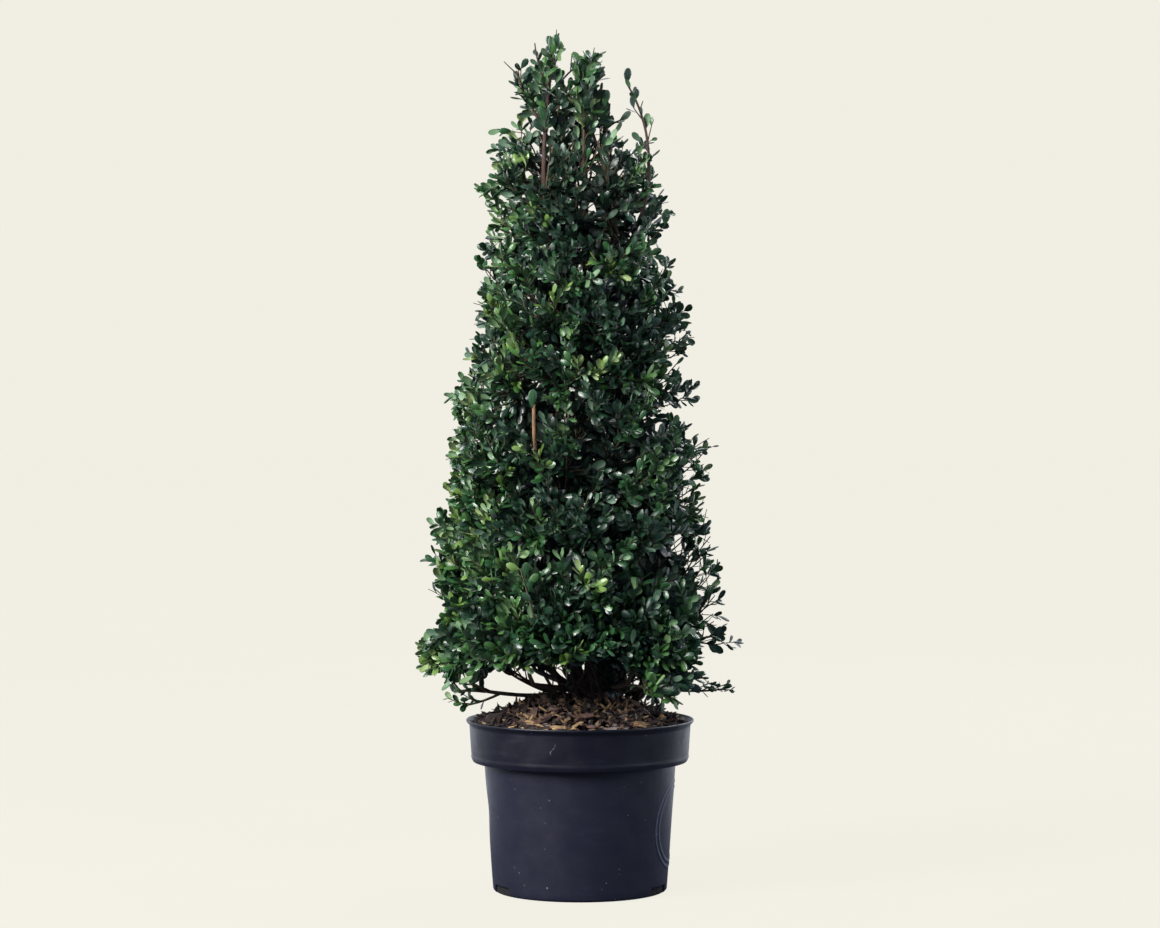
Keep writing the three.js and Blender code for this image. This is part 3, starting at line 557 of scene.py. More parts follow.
# The pot turned from one profile: under the floor, up the outside, over the lip and down the inside
def makePot():
    # columns stand closer together across the pad
    even = np.linspace(0, 2 * np.pi, 3600, endpoint=False)
    toPad = np.abs(turnFrom(even, math.radians(pad["angle"])))
    crowd = np.cumsum(1 + pad["crowd"] * (toPad < pad["crowdReach"]))
    angle = np.interp(np.arange(pot["columns"]) / pot["columns"], (crowd - crowd[0]) / crowd[-1], even)
    wall, foot, notchFoot = pot["wall"], pot["footRadius"], pot["footRadius"] - drain["depth"]
    bodyRise = np.linspace(0.045, 1, 112)
    body = np.stack([
        mix(foot, pot["bodyTopRadius"], bodyRise),
        mix(pot["heel"], pot["bodyTop"], bodyRise),
    ], axis=-1)
    ledgeTurn = np.linspace(0.1, 1, 6) * np.pi / 2
    ledge = np.stack([
        mix(pot["bodyTopRadius"], pot["bandFootRadius"] - 1.2, np.sin(ledgeTurn)),
        mix(pot["bandFoot"] - wall, pot["bodyTop"], np.cos(ledgeTurn)),
    ], axis=-1)
    bandRise = np.linspace(0.02, 1, 22)
    bandTop = pot["height"] - pot["lipDrop"]
    band = np.stack([
        mix(pot["bandFootRadius"], pot["bandTopRadius"], bandRise),
        mix(pot["bandFoot"], bandTop, bandRise),
    ], axis=-1)
    inside = np.array([
        [pot["bandFootRadius"] - wall, pot["bandFoot"] + wall],
        [pot["bodyTopRadius"] - wall, pot["bodyTop"] + wall],
        [foot - wall + 0.6, 24],
        [foot - wall, drain["height"] + 3.4],
        [foot - 2 * wall, drain["height"] + 2.9],
        [notchFoot - 2.6, drain["height"] + 2.6],
        [notchFoot - 3.0, pot["floor"]],
        [60, pot["floor"]],
        [12, pot["floor"]],
    ])
    under = np.array([
        [12, 0], [50, 0], [notchFoot - 3, 0], [notchFoot, 0], [notchFoot + 0.3, 0.02],
        [foot - pot["heel"], 0.04], [foot - 1.6, 0.9], [foot - 0.4, 2.3], [foot, 4],
    ])
    profile = np.concatenate([under, body, ledge, band, potLip, inside])
    radius = np.repeat(profile[:, :1], pot["columns"], axis=1)
    height = np.repeat(profile[:, 1:], pot["columns"], axis=1)
    notch = notchAt(angle)[None, :]
    row = np.arange(len(profile))
    lifted = (row >= 4) & (row < len(under) + 4)
    step = 0.12 * (row - 4)
    height = np.where(lifted[:, None], np.maximum(height, notch * (drain["height"] + step[:, None])), height)
    # the floor over the notches stays flat elsewhere
    inner = (row >= len(profile) - 6) & (row < len(profile) - 3)
    flat = pot["floor"] + 0.2 * (len(profile) - row[:, None])
    height = np.where(inner[:, None], mix(flat, height, notch), height)
    outer = (row >= len(under)) & (row < len(under) + len(body))
    radius = radius + outer[:, None] * potRelief(angle[None, :], height, radius)
    onBand = (row >= len(under) + len(body)) & (row < len(profile) - len(inside) - len(potLip))
    bead = np.exp(-(((height - rimBead["height"]) / rimBead["reach"]) ** 2)) * rimBead["rise"]
    sway = pot["sway"] * np.sin(2 * angle + 0.7)[None, :]
    radius = radius + onBand[:, None] * (bead + sway * smoothStep(*pot["swayFrom"], height))
    points, faces = closedGrid(polar(angle[None, :], radius, height))
    piece = makePiece("pot_shell", points, faces, potPlastic)
    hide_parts("pot")


makePot()


# A near-black block that fills each drain notch: painted shade, for the floor in shadow under the pot
notchShadeBlock = {"radius": 98.8, "reach": 6.2, "height": 10.4, "corner": 0.35, "crumb": 0.4, "crumbSize": 4}


# A rounded box, cos and sin to a power with their signs, carried round each notch and roughened by noise
def makeNotchShade():
    sides = 20
    around = (np.arange(sides) + 0.5) * 2 * np.pi / sides
    across, rise = (
        np.sign(wave) * np.abs(wave) ** notchShadeBlock["corner"] for wave in (np.cos(around), np.sin(around))
    )
    grids = []
    for middle in drainAngles:
        turn = middle + np.linspace(-drainHalf, drainHalf, 30)[:, None]
        grid = polar(turn, notchShadeBlock["radius"], notchShadeBlock["height"] * (0.5 - 0.5 * rise))
        crumbs = notchShadeBlock["reach"] + notchShadeBlock["crumb"] * waveNoise(grid, notchShadeBlock["crumbSize"], 17)
        grids.append(grid + polar(turn, crumbs * across, 0.0))
    points, faces, uv = joinGrids(grids)
    makePiece("drain_notch_shade", points, faces, notchShadeFill, uv)


# Bark mulch: a mound that slopes to the rim, covered in loose chips
mulch = {
    "edge": 201, "plateau": 230, "plateauRadius": 50, "rim": 132.0, "floor": 186.5,
    "underChips": 1.5, "crumb": 1.6, "crumbSize": 9, "fineCrumb": 0.6, "fineSize": 3.6, "tile": 12,
}
chips = {
    "count": 1900, "length": (7, 29), "width": (2.6, 9.5), "thickness": (1.2, 2.9), "small": 1.6,
    "jitter": 0.3, "bend": 0.12, "tilt": 0.5, "sunk": 0.3, "heap": 6.0, "rimGap": 1.5,
    "rimFrom": (24, 10), "rimSway": 0.25, "shares": [0.27, 0.19, 0.15, 0.39],
}
# painted shade on the mulch by the left and right rim, where more chips take the dark tint: share, and from
# where to where in x
mulchShadePatches = [(0.8, -58, -86), (0.55, 56, 84)]
clods = rowsOf(
    "place length width thickness turn tilt tint",
    ((-101, -52), 24, 17, 15, 0.5, 0.3, "dark"),
    ((-58, -74), 34, 12, 5, 1.1, -0.75, "rust"),
    ((-20, -112), 30, 14, 5, 0.2, 0.2, "tan"),
    ((34, -116), 28, 13, 5, 2.8, 0.25, "grey"),
    ((78, -88), 32, 12, 6, 0.9, 0.4, "tan"),
    ((6, -88), 27, 15, 6, 2.1, 0.3, "rust"),
)


# Height of the mound: level in the middle, then a straight slope to the edge
def mulchHeight(radius):
    slope = np.clip((radius - mulch["plateauRadius"]) / (mulch["rim"] - mulch["plateauRadius"]), 0, 1)
    return mix(mulch["plateau"], mulch["edge"], slope)


# The mound's profile turned round the axis, its top raised by two sizes of noise
def makeMulchBed():
    angle = onceRound(160)
    radius = np.concatenate([np.linspace(20, 128, 3), np.linspace(mulch["rim"] - 0.6, 4, 48)])
    top = np.concatenate([np.full(3, mulch["floor"]), mulchHeight(radius[3:]) - mulch["underChips"]])
    grid = polar(angle[None, :], radius[:, None], top[:, None])
    crumbs = waveNoise(grid, mulch["crumbSize"], 3)
    crumbs = crumbs + mulch["fineCrumb"] * waveNoise(grid, mulch["fineSize"], 4)
    onTop = (np.arange(len(radius)) > 3)[:, None]
    grid[..., 2] += onTop * mulch["crumb"] * crumbs
    points, faces = closedGrid(grid)
    piece = makePiece("mulch_bed", points, faces, soilCrumb, points[:, :2] / mulch["tile"])
    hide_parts("bark_mulch")


# One wedge of bark: five cross-sections of four points, thinner and narrower to its ends
def chipTemplate():
    run = np.array([-0.5, -0.36, 0.02, 0.34, 0.5])
    wide = np.array([0.22, 0.42, 0.5, 0.38, 0.16])
    thick = np.array([0.3, 0.46, 0.5, 0.44, 0.24])
    corner = np.array([[-1, -1], [1, -1], [1, 1], [-1, 1]])
    across = wide[:, None] * corner[None, :, 0]
    rise = thick[:, None] * corner[None, :, 1]
    points = np.stack([np.broadcast_to(run[:, None], across.shape), across, rise], axis=-1).reshape(-1, 3)
    ends = np.array([[3, 2, 1, 0], [16, 17, 18, 19]])
    return points, np.concatenate([gridFaces(5, 4), ends])


# A pair of coordinates turned by an angle: c a - s b and s a + c b
def spin(first, second, angle):
    cosines, sines = np.cos(angle)[:, None], np.sin(angle)[:, None]
    return first * cosines - second * sines, first * sines + second * cosines


# Chips placed at once: the template jittered, stretched, bent, turned by roll, tilt and yaw, and set in place
def chipPoints(place, sizes, yaw, tilt, roll, dice):
    template, faces = chipTemplate()
    count = len(place)
    jitter, bend = chips["jitter"], chips["bend"]
    shape = template[None] * (1 + dice.uniform(-jitter, jitter, (count, len(template), 3)))
    shape = shape * sizes[:, None, :]
    shape[..., 2] += dice.uniform(-bend, bend, (count, 1)) * np.abs(shape[..., 0])
    x, y, z = shape[..., 0], shape[..., 1], shape[..., 2]
    y, z = spin(y, z, roll)
    z, x = spin(z, x, tilt)
    x, y = spin(x, y, yaw)
    points = np.stack([x, y, z], axis=-1) + place[:, None, :]
    allFaces = faces[None] + np.arange(count)[:, None, None] * len(template)
    uv = np.stack([template[:, 1] * 0.8 + template[:, 2] * 0.5, template[:, 0]], axis=-1)
    uv = uv[None] + dice.uniform(0, 9, (count, 1, 2))
    return points.reshape(-1, 3), allFaces.reshape(-1, 4), uv.reshape(-1, 2)


# Chips by the golden angle, at the rim's radius times the root of a drawn share. Near the rim a chip lies
# along it, elsewhere it points anywhere. The large clods join the chips of their tint.
def makeChips():
    dice = np.random.default_rng(seed + 1)
    count = chips["count"]
    measures = ("length", "width", "thickness")
    spread = dice.uniform(0, 1, count)
    sizes = [mix(*chips[key], dice.uniform(0, 1, count) ** chips["small"]) for key in measures]
    sizes = np.stack(sizes, axis=-1)
    reach = mulch["rim"] - chips["rimGap"] - 0.5 * sizes[:, 1]
    radius = np.minimum(mulch["rim"] * np.sqrt(spread), reach)
    angle = np.arange(count) * goldenAngle
    rimStart, rimEnd = (mulch["rim"] - step for step in chips["rimFrom"])
    nearRim = smoothStep(rimStart, rimEnd, radius)
    anywhere = dice.uniform(-math.pi, math.pi, count)
    alongRim = math.pi / 2 + dice.uniform(-chips["rimSway"], chips["rimSway"], count)
    yaw = angle + mix(anywhere, alongRim, nearRim)
    tilt, roll = dice.normal(0, chips["tilt"], (2, count)) * mix(1, 0.5, nearRim)
    lift = mulchHeight(radius) + sizes[:, 2] * chips["sunk"] + dice.uniform(0, chips["heap"], count)
    place = polar(angle, radius, lift)
    tint = dice.choice(len(chipFinishes), count, p=chips["shares"])
    # chips by the left and right rim turn dark: painted shade under the crown's skirt
    soil = sum(share * smoothStep(start, end, place[:, 0]) for share, start, end in mulchShadePatches)
    inMulchShade = dice.uniform(0, 1, count) < soil
    tint = np.where(inMulchShade, list(chipFinishes).index("dark"), tint)
    for index, name in enumerate(chipFinishes):
        pick = tint == index
        large = [clod for clod in clods if clod["tint"] == name]
        spots = np.array([[*clod["place"], 0] for clod in large], float).reshape(-1, 3)
        spots[:, 2] = mulchHeight(np.hypot(spots[:, 0], spots[:, 1]))
        spots[:, 2] += [0.3 * clod["thickness"] + 2 for clod in large]
        largeSizes = np.array([[clod[key] for key in measures] for clod in large], float)
        everySpot = np.concatenate([place[pick], spots])
        everySize = np.concatenate([sizes[pick], largeSizes.reshape(-1, 3)])
        everyYaw = np.concatenate([yaw[pick], [clod["turn"] for clod in large]])
        everyTilt = np.concatenate([tilt[pick], [clod["tilt"] for clod in large]])
        everyRoll = np.concatenate([roll[pick], np.zeros(len(large))])
        points, faces, uv = chipPoints(everySpot, everySize, everyYaw, everyTilt, everyRoll, dice)
        makePiece("mulch_chips_" + name, points, faces, chipFinishes[name], uv, smooth=False)


makeMulchBed()
makeChips()
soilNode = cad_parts["potting_soil"]
soilNode.data.materials.clear()
soilNode.data.materials.append(soilCrumb)
print("pot filled")


# Limbs: a short trunk, leaders up through the crown, boughs under the skirt and one pruned shoot
trunk = {
    "x": 10, "y": 4, "foot": 230.3, "fork": 262, "footRadius": 37, "neckRadius": 24,
    "forkRadius": 27, "sunk": 4, "flutes": 5, "fluteDepth": 0.16,
}
leader = {"footRadius": 7.4, "tipRadius": 3.6, "rise": 90, "top": 930, "sunk": 6}
leaders = {
    "left": {"seat": (-14, -6), "bow": (-44, -24, 640), "end": (-26, -12)},
    "middle": {"seat": (2, -14), "bow": (8, -40, 640), "end": (5, -16)},
    "right": {"seat": (14, 8), "bow": (40, 14, 640), "end": (31, 8)},
}
bough = {"footRadius": 4.6, "tipRadius": 2.6, "start": 247, "end": 262, "reach": 112, "dip": -4}
lowBoughs = {
    "left": {"reach": 128, "start": 240, "end": 247, "dip": -9, "footRadius": 3.6, "tipRadius": 2.0},
    "right": {"reach": 118, "end": 252, "dip": -6},
}
boughNames = ["right", "back_right", "back_left", "left", "front_left", "front_right"]
cutShoot = {
    "start": 505,
    "bends": [(-50, -106, 506), (-56, -117, 532)],
    "end": (-55, -117, 598),
    "footRadius": 2.7,
    "tipRadius": 2.2,
}
barkRelief = {
    "ridges": 7, "depth": 0.09, "knot": 0.12, "knotSize": 24, "wind": 1.4, "windSize": 46,
    "swing": 5, "fadeSize": 15,
}
limbSides = 18


# Bark over a limb: radius × (1 + winding ridges + slow knots), as a grid round its path
def barkGrid(path, radii, sides, start):
    rings = ringsAlong(path, radii[:, None], sides)
    wind = barkRelief["wind"] * waveNoise(rings, barkRelief["windSize"], start)
    fade = 0.6 + 0.4 * waveNoise(rings, barkRelief["fadeSize"], start + 1)
    ridge = np.sin(barkRelief["ridges"] * onceRound(sides)[None, :] + barkRelief["swing"] * wind) * fade
    knots = waveNoise(rings, barkRelief["knotSize"], start + 2)
    swell = 1 + barkRelief["depth"] * ridge + barkRelief["knot"] * knots
    return path[:, None, :] + (rings - path[:, None, :]) * swell[..., None]


# Bark over a limb whose radius falls evenly from foot to tip
def taperGrid(path, footRadius, tipRadius, sides, start):
    return barkGrid(path, np.linspace(footRadius, tipRadius, len(path)), sides, start)


# Grids with the same number of sides joined as one piece, each closed at its ends
def joinGrids(grids):
    points, quads, fans, uvs = [], [], [], []
    offset = 0
    for grid in grids:
        gridPoints, (gridQuads, gridFans) = closedGrid(grid)
        sides = grid.shape[1]
        run = np.linalg.norm(np.diff(grid.mean(axis=1), axis=0), axis=-1).cumsum() / barkTile
        run = np.concatenate([[0], run])
        around = np.abs(np.arange(sides) / sides * 2 - 1) * 2
        uv = np.stack(np.broadcast_arrays(around[None, :], run[:, None]), axis=-1).reshape(-1, 2)
        uvs += [uv, uv[[0, -1]]]
        points.append(gridPoints)
        quads.append(gridQuads + offset)
        fans.append(gridFans + offset)
        offset += len(gridPoints)
    return np.concatenate(points), [np.concatenate(quads), np.concatenate(fans)], np.concatenate(uvs)


# A leader: a curve that rises straight from its seat on the fork, bows out and ends under the top
def leaderPath(side, rows=72):
    plan = leaders[side]
    seat = trunk["x"] + plan["seat"][0], trunk["y"] + plan["seat"][1]
    foot = np.array([*seat, trunk["fork"] - leader["sunk"]])
    controls = np.array([foot, foot + leader["rise"] * upward, plan["bow"], (*plan["end"], leader["top"])])
    return curveRows(controls, rows)


# A bough's own values over those of every bough
def boughPlan(index):
    return {**bough, **lowBoughs.get(boughNames[index], {})}


# A bough: a curve from the trunk to its end, 60 degrees on from the last one, that dips on its way
def boughPath(index, rows=30):
    plan = boughPlan(index)
    foot = np.array([trunk["x"], trunk["y"], plan["start"]])
    end = polar(math.radians(60 * index), plan["reach"], plan["end"])
    middle = mix(foot, end, 0.6) + plan["dip"] * upward
    return curveRows(np.array([foot, middle, end]), rows)


# Many thin stems rise in a fan from the trunk's rim into the skirt
baseStems = rowsOf(
    "count aside seat start reach end lift radius",
    (16, 0, 20, 250, (62, 104), (312, 356), 18, (2.8, 1.6)),
    (17, 0, 26, 240, (74, 122), (264, 298), 5, (2.1, 1.2)),
    (34, 12, 38, 224, (46, 96), (286, 332), 28, (2.2, 1.4)),
)
baseBend = {"first": 0.9, "sway": 0.5, "share": 0.45}
camera = {"place": (0.0, -4.0, 0.615), "pitch": -1.3, "lens": 101.1}
# single gaps between the stems under the skirt, as x, height and radius
skirtGaps = [
    (-70, 265, 6), (-49, 261, 7), (-36, 262, 7), (-27, 273, 5), (-20, 263, 6), (-9, 274, 5),
    (-5, 261, 6), (7, 274, 5), (9, 261, 6), (62, 262, 6), (70, 259, 7),
]
stemClear = 0.55  # share of a gap's radius that stems leave open


# Where points seem to be from the front, at the crown's axis: sight lines meet at the viewer
def seenFromFront(points):
    eye = np.array(camera["place"]) / metre
    nearer = eye[1] / (eye[1] - points[..., 1])
    return np.stack([points[..., 0] * nearer, eye[2] + (points[..., 2] - eye[2]) * nearer], axis=-1)


# Stems that leave the gaps under the skirt open: no point of them is seen within a share of a gap's radius
def missGaps(paths):
    gaps = np.array(skirtGaps, float)
    away = np.linalg.norm(seenFromFront(paths)[:, :, None, :] - gaps[:, :2], axis=-1)
    return (away > stemClear * gaps[:, 2]).all(axis=(1, 2))


# A fan of stems: feet by the golden angle round the trunk's rim, ends drawn within the fan's reach, and a
# bend part of the way out to each end
def baseStemPaths(fan, number):
    dice = np.random.default_rng(seed + 2 + number)
    count = fan["count"]
    angle = np.arange(count) * goldenAngle + baseBend["first"]
    middle = np.array([trunk["x"] + fan["aside"], trunk["y"], 0])
    feet = middle + polar(angle, fan["seat"], fan["start"])
    reach, top = dice.uniform(*fan["reach"], count), dice.uniform(*fan["end"], count)
    ends = polar(angle, reach, top) + np.array([fan["aside"], 0, 0])
    swayed = angle + dice.uniform(-baseBend["sway"], baseBend["sway"], count)
    bends = feet + polar(swayed, baseBend["share"] * reach, fan["lift"])
    paths = curveRows(np.stack([feet, bends, ends], axis=-2), 30)
    return paths[missGaps(paths)]


leaderPaths = {side: leaderPath(side) for side in leaders}
boughPaths = [boughPath(index) for index in range(len(boughNames))]
basePaths = [baseStemPaths(fan, number) for number, fan in enumerate(baseStems)]


# The point of a path that is nearest to a height
def atHeight(path, height):
    return path[np.abs(path[:, 2] - height).argmin()]


# The trunk's radius is its neck, plus a flare by the cube of the way down and a swelling by the square of the
# way up, less flutes by the cosine where its stems part. All other limbs taper, and all are joined.
def makeLimbs():
    rows = 26
    rise = np.linspace(0, 1, rows)
    flare = trunk["neckRadius"] + (trunk["footRadius"] - trunk["neckRadius"]) * (1 - rise) ** 3
    flare = flare + (trunk["forkRadius"] - trunk["neckRadius"]) * rise ** 2
    stem = np.stack([
        np.full(rows, float(trunk["x"])),
        np.full(rows, float(trunk["y"])),
        mix(trunk["foot"] - trunk["sunk"], trunk["fork"], rise),
    ], axis=-1)
    grid = barkGrid(stem, flare, 28, 20)
    away = grid - stem[:, None, :]
    turn = np.arctan2(away[..., 1], away[..., 0])
    groove = trunk["fluteDepth"] * (0.5 + 0.5 * np.cos(trunk["flutes"] * turn + 0.6))
    flute = 1 - groove * smoothStep(0, 1, rise)[:, None]
    grid[..., :2] = stem[:, None, :2] + away[..., :2] * flute[..., None]
    names, limbs = ["trunk"], []
    for index, (side, path) in enumerate(leaderPaths.items()):
        limbs.append((path, leader["footRadius"], leader["tipRadius"], limbSides, 30 + 3 * index))
        names.append("leader_" + side)
    for index, path in enumerate(boughPaths):
        plan = boughPlan(index)
        limbs.append((path, plan["footRadius"], plan["tipRadius"], limbSides, 60 + 3 * index))
        names.append("bough_" + boughNames[index])
    for fan, paths in zip(baseStems, basePaths):
        limbs += [(path, *fan["radius"], limbSides, 200 + 3 * index) for index, path in enumerate(paths)]
    points, faces, uv = joinGrids([grid] + [taperGrid(*limb) for limb in limbs])
    piece = makePiece("limbs_bark", points, faces, barkBrown, uv)
    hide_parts(*names)


# The pruned shoot: a curve from the left leader by two bends to its blunt end
def makeCutShoot():
    foot = atHeight(leaderPaths["left"], cutShoot["start"])
    end = np.array(cutShoot["end"], float)
    line = curveRows(np.array([foot, *cutShoot["bends"], end]), 60)
    rind = taperGrid(line, cutShoot["footRadius"], cutShoot["tipRadius"], 20, 90)
    points, faces, uv = joinGrids([rind])
    piece = makePiece("pruned_shoot", points, faces, barkPale, uv)
    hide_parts("cut_shoot")


makeLimbs()
makeCutShoot()
makeNotchShade()


# Crown: the clipped cone's skin, and the masses that fill it, as in the source
crown = {"skirt": 292, "skirtRadius": 180, "tip": 1062, "bulge": 0.43, "lump": 0.045}
tiers = rowsOf(
    "name low high sectors first hollow twigs shoots under inner",
    ("skirt", 246, 425, 6, 0, 66, 12, 46, 28, 44),
    ("middle", 425, 600, 5, 36, 64, 11, 46, 28, 60),
    ("upper", 600, 770, 4, 0, 60, 11, 46, 26, 36),
    ("shoulder", 770, 928, 3, 90, 44, 10, 54, 26, 26),
)
tierLine = {"sway": 24, "topRise": 14, "topSway": 12}
# the skirt's lower edge: pairs are where each part begins and is full, as cosines or sines of the angle
skirtLine = {
    "height": 290, "lobe": 32, "lobeFrom": (0.35, 0.5), "lobeTo": (0.72, 0.86), "right": 14,
    "rightFrom": (0.82, 0.92), "left": 24, "leftFrom": (0.66, 0.85), "back": 26,
    "backFrom": (0.2, 0.6), "backTo": 0.8,
}
# where the skin stands out or falls in: at the two sides, then the dark hollows in front and at the back
skinForms = rowsOf(
    "angle height rise wide tall",
    (180, 856, 20, 60, 30), (180, 800, 8, 60, 24), (180, 672, -8, 60, 26), (180, 598, 20, 60, 16),
    (180, 455, 8, 60, 16), (180, 415, 16, 60, 16), (180, 350, -12, 70, 20), (180, 290, 8, 60, 26),
    (0, 800, -24, 60, 22), (0, 640, -20, 60, 30), (0, 582, -32, 60, 17), (0, 546, 14, 60, 13),
    (0, 500, -8, 60, 20), (0, 448, 18, 60, 18), (0, 376, 15, 60, 20), (0, 300, 20, 60, 18),
    (280, 548, -58, 29, 31), (239, 606, -46, 15, 24), (266, 508, -58, 20, 20), (249, 622, -44, 20, 16),
    (303, 730, -46, 32, 22), (290, 866, -44, 20, 24), (277, 815, -50, 26, 22), (302, 405, -40, 24, 22),
    (262, 690, -30, 24, 18), (240, 480, -30, 22, 16), (142, 550, -44, 28, 34), (60, 700, -36, 26, 26),
    (130, 420, -36, 28, 24),
)
skinNoise = {"size": 85, "rise": 6, "fineSize": 44, "fineRise": 9}
hubPlan = {
    "lowest": 274, "pastBough": 16, "pastHollow": 8, "share": 0.3, "lift": 0.05, "onward": 34,
    "under": 20, "twigsFrom": 0.45,
}
stemSize = {"footRadius": 2.6, "tipRadius": 2.0}
twigSize = {"footRadius": 1.9, "tipRadius": 1.2, "lift": 0.16, "depth": 60, "bend": 0.55}
shootSize = {
    "footRadius": 1.2, "tipRadius": 0.6, "depth": 8, "seekIn": 34.0, "seekDown": 36.0,
    "seekAt": 0.85, "leaveAt": (0.5, 1.0), "turnIn": 18.0, "turnUp": 27.0, "hangUp": 8.0,
    "hangFrom": (280, 400), "sway": 9.0, "trim": 12.0, "proudTrim": 60.0,
}
# two darker layers under the outer shoots: the shaded tint in them is painted shade
underShoot = {
    "depth": 36, "follow": 0.8, "leaves": 12, "bearing": 46, "scale": 1.05, "tints": ["shaded", "deep"],
}
innerShoot = {
    "depth": 62, "follow": 0.2, "leaves": 10, "bearing": 44, "scale": 1.25, "tints": ["shaded"],
}
innerTwig = {"seekAt": 0.6, "leaveAt": (0.25, 0.75), "lift": 0.1}
sideTwig = {
    "length": (20, 32), "spread": 0.8, "fromTip": (14, 30, 46), "spare": 6, "lift": 0.05,
    "footRadius": 0.55, "tipRadius": 0.4, "leaf": 0.92,
}
fineTwig = (0.9, 0.5)  # radius at foot and tip
leafing = {
    "leaves": 13, "bearing": 60, "sideLeaves": 7, "sideBearing": 23, "stagger": 1.2, "twist": 0.35,
    "splay": 0.64, "splayRun": (1.15, 0.4), "splayDraw": (0.8, 1.2), "light": 0.25, "scatter": 0.62,
    "size": (0.58, 1.1), "tipSize": 0.8, "skirtSize": 0.17, "skirtFrom": (480, 310), "bare": 0.1,
    "gapShare": 0.1, "curl": (0.4, 1.5), "hang": 18,
}
thinning = {
    "outer": 30, "hollow": 0.85, "hollowFrom": (18, 40), "right": 0.34, "rightFrom": (0.5, 0.85),
    "top": 0.3, "topFrom": (815, 905),
}
clump = {"size": 46, "bare": -0.5, "full": -0.05, "share": 0.85}
leafBlade = {
    "length": 20.5, "rows": [0.15, 0.38, 0.62, 0.84, 0.955],
    "halfWidths": [0.072, 0.188, 0.242, 0.196, 0.106], "arch": 0.07, "roll": 0.55, "tipDrop": 0.12,
}
# shares of deep, mid, fresh and young sprays, in the crown and in its ragged top
crownTints = (0.4, 0.38, 0.19, 0.03)
topTints = (0.42, 0.36, 0.17, 0.05)
# painted shade in the tints: a lean to darker sprays towards the right side, away from the light, and a dark
# patch in the upper front
tintDeal = {
    "lean": 0.17, "leanReach": 150, "shade": 0.34, "shadeX": -25, "shadeWide": 68,
    "shadeHeight": 750, "shadeTall": 100, "accentSize": 24, "accentOver": (0.74, 0.52),
    "accentFrom": (420, 560),
}
proudShoots = rowsOf(
    "angle height reach",
    (180, 608, 160), (176, 300, 192), (357, 552, 162), (4, 456, 170), (358, 302, 198),
    (352, 850, 106), (184, 912, 101), (172, 924, 98), (196, 900, 102), (2, 378, 178),
    (355, 288, 204), (166, 935, 96), (158, 944, 92), (178, 930, 92), (191, 929, 88),
)
proudTip = {"inward": 10, "down": 6}
# boxes that stay free of leaves: the gap under the skirt, the air before the pruned shoot and before two
# stems of the shoulder, and the sky over, between and beside the tufts of the top
openings = rowsOf(
    "low high",
    ((-112, -400, 205), (-44, 400, 270)),
    ((-63, -400, 546), (-49, -104, 598)),
    ((-58, -400, 862), (-38, -31, 926)),
    ((0, -400, 884), (8, -36, 926)),
    ((-300, -400, 1050), (300, 400, 1200)),
    ((-17, -400, 1031), (300, 400, 1200)),
    ((-18, -400, 997), (-10, 400, 1200)),
    ((37, -400, 958), (51, 400, 1200)),
    ((74, -400, 975), (300, 400, 1200)),
    ((88, -400, 925), (300, 400, 1200)),
    ((-300, -400, 1012), (-66, 400, 1200)),
    ((-300, -400, 940), (-90, 400, 1200)),
)
# small gaps that run through the crown from front to back: along the thin right edge, along the left edge,
# in the airy shoulder and, smaller, in the middle. The inset is measured from the skin at that side.
skyGaps = rowsOf(
    "side low high inset count size",
    (1, 284, 470, (6, 44), 34, (1.8, 4.8)),
    (1, 470, 660, (6, 38), 20, (1.5, 4.2)),
    (1, 660, 860, (4, 22), 5, (1.2, 2.6)),
    (-1, 380, 860, (4, 22), 7, (1.2, 2.4)),
    (-1, 874, 944, (8, 92), 6, (1.4, 3.6)),
    (1, 874, 944, (6, 60), 6, (1.4, 3.4)),
    (-1, 560, 860, (50, 200), 8, (0.8, 1.8)),
)
# single gaps by the two stems of the shoulder, as x, height and radius
shoulderGaps = [
    (13, 881, 6), (13, 838, 5), (-56, 911, 3), (54, 932, 4), (-2, 868, 3), (17, 906, 5), (22, 926, 4),
    (25, 893, 4),
]
nearUp = upward + np.array([0.04, 0.07, 0])
twigStore = []
leafStore = []


# Radius of the skin: a cone with a bulging side, times one plus shallow lumps
def crownRadius(angle, height):
    share = np.clip((crown["tip"] - height) / (crown["tip"] - crown["skirt"]), 0, 1.05)
    lump = np.sin(3 * angle + height / 60) * np.cos(2 * angle - height / 45)
    return crown["skirtRadius"] * share ** crown["bulge"] * (1 + crown["lump"] * lump)


# How far the skin stands out: noise, and each form as rise × exp(-(arc / wide)² - (height / tall)²)
def skinShift(angle, height):
    radius = crownRadius(angle, height)
    spot = polar(angle, radius, height)
    shift = skinNoise["rise"] * waveNoise(spot, skinNoise["size"], 11)
    shift = shift + skinNoise["fineRise"] * waveNoise(spot, skinNoise["fineSize"], 12)
    for form in skinForms:
        aside = turnFrom(angle, math.radians(form["angle"])) * radius / form["wide"]
        above = (height - form["height"]) / form["tall"]
        shift = shift + form["rise"] * np.exp(-(aside**2) - above**2)
    return shift


# The line between two tiers is a sine round the crown. The skirt's lower edge is a height, less a lobe at the
# front right, a fall on the left and one at the back, plus a rise on the right, each by smooth steps.
def tierEdge(height, angle):
    if height == tiers[0]["low"]:
        line = skirtLine
        aside, behind = np.cos(angle), np.sin(angle)
        lobe = smoothStep(*line["lobeFrom"], aside) * (1 - smoothStep(*line["lobeTo"], aside))
        right = line["right"] * smoothStep(*line["rightFrom"], aside)
        left = line["left"] * smoothStep(*line["leftFrom"], -aside)
        back = line["back"] * smoothStep(*line["backFrom"], behind) * (aside < line["backTo"])
        return line["height"] - line["lobe"] * lobe + (right - left) - back
    if height == tiers[-1]["high"]:
        return height + tierLine["topRise"] + tierLine["topSway"] * np.sin(5 * angle + 1)
    return height + tierLine["sway"] * np.sin(2 * angle + height / 60)


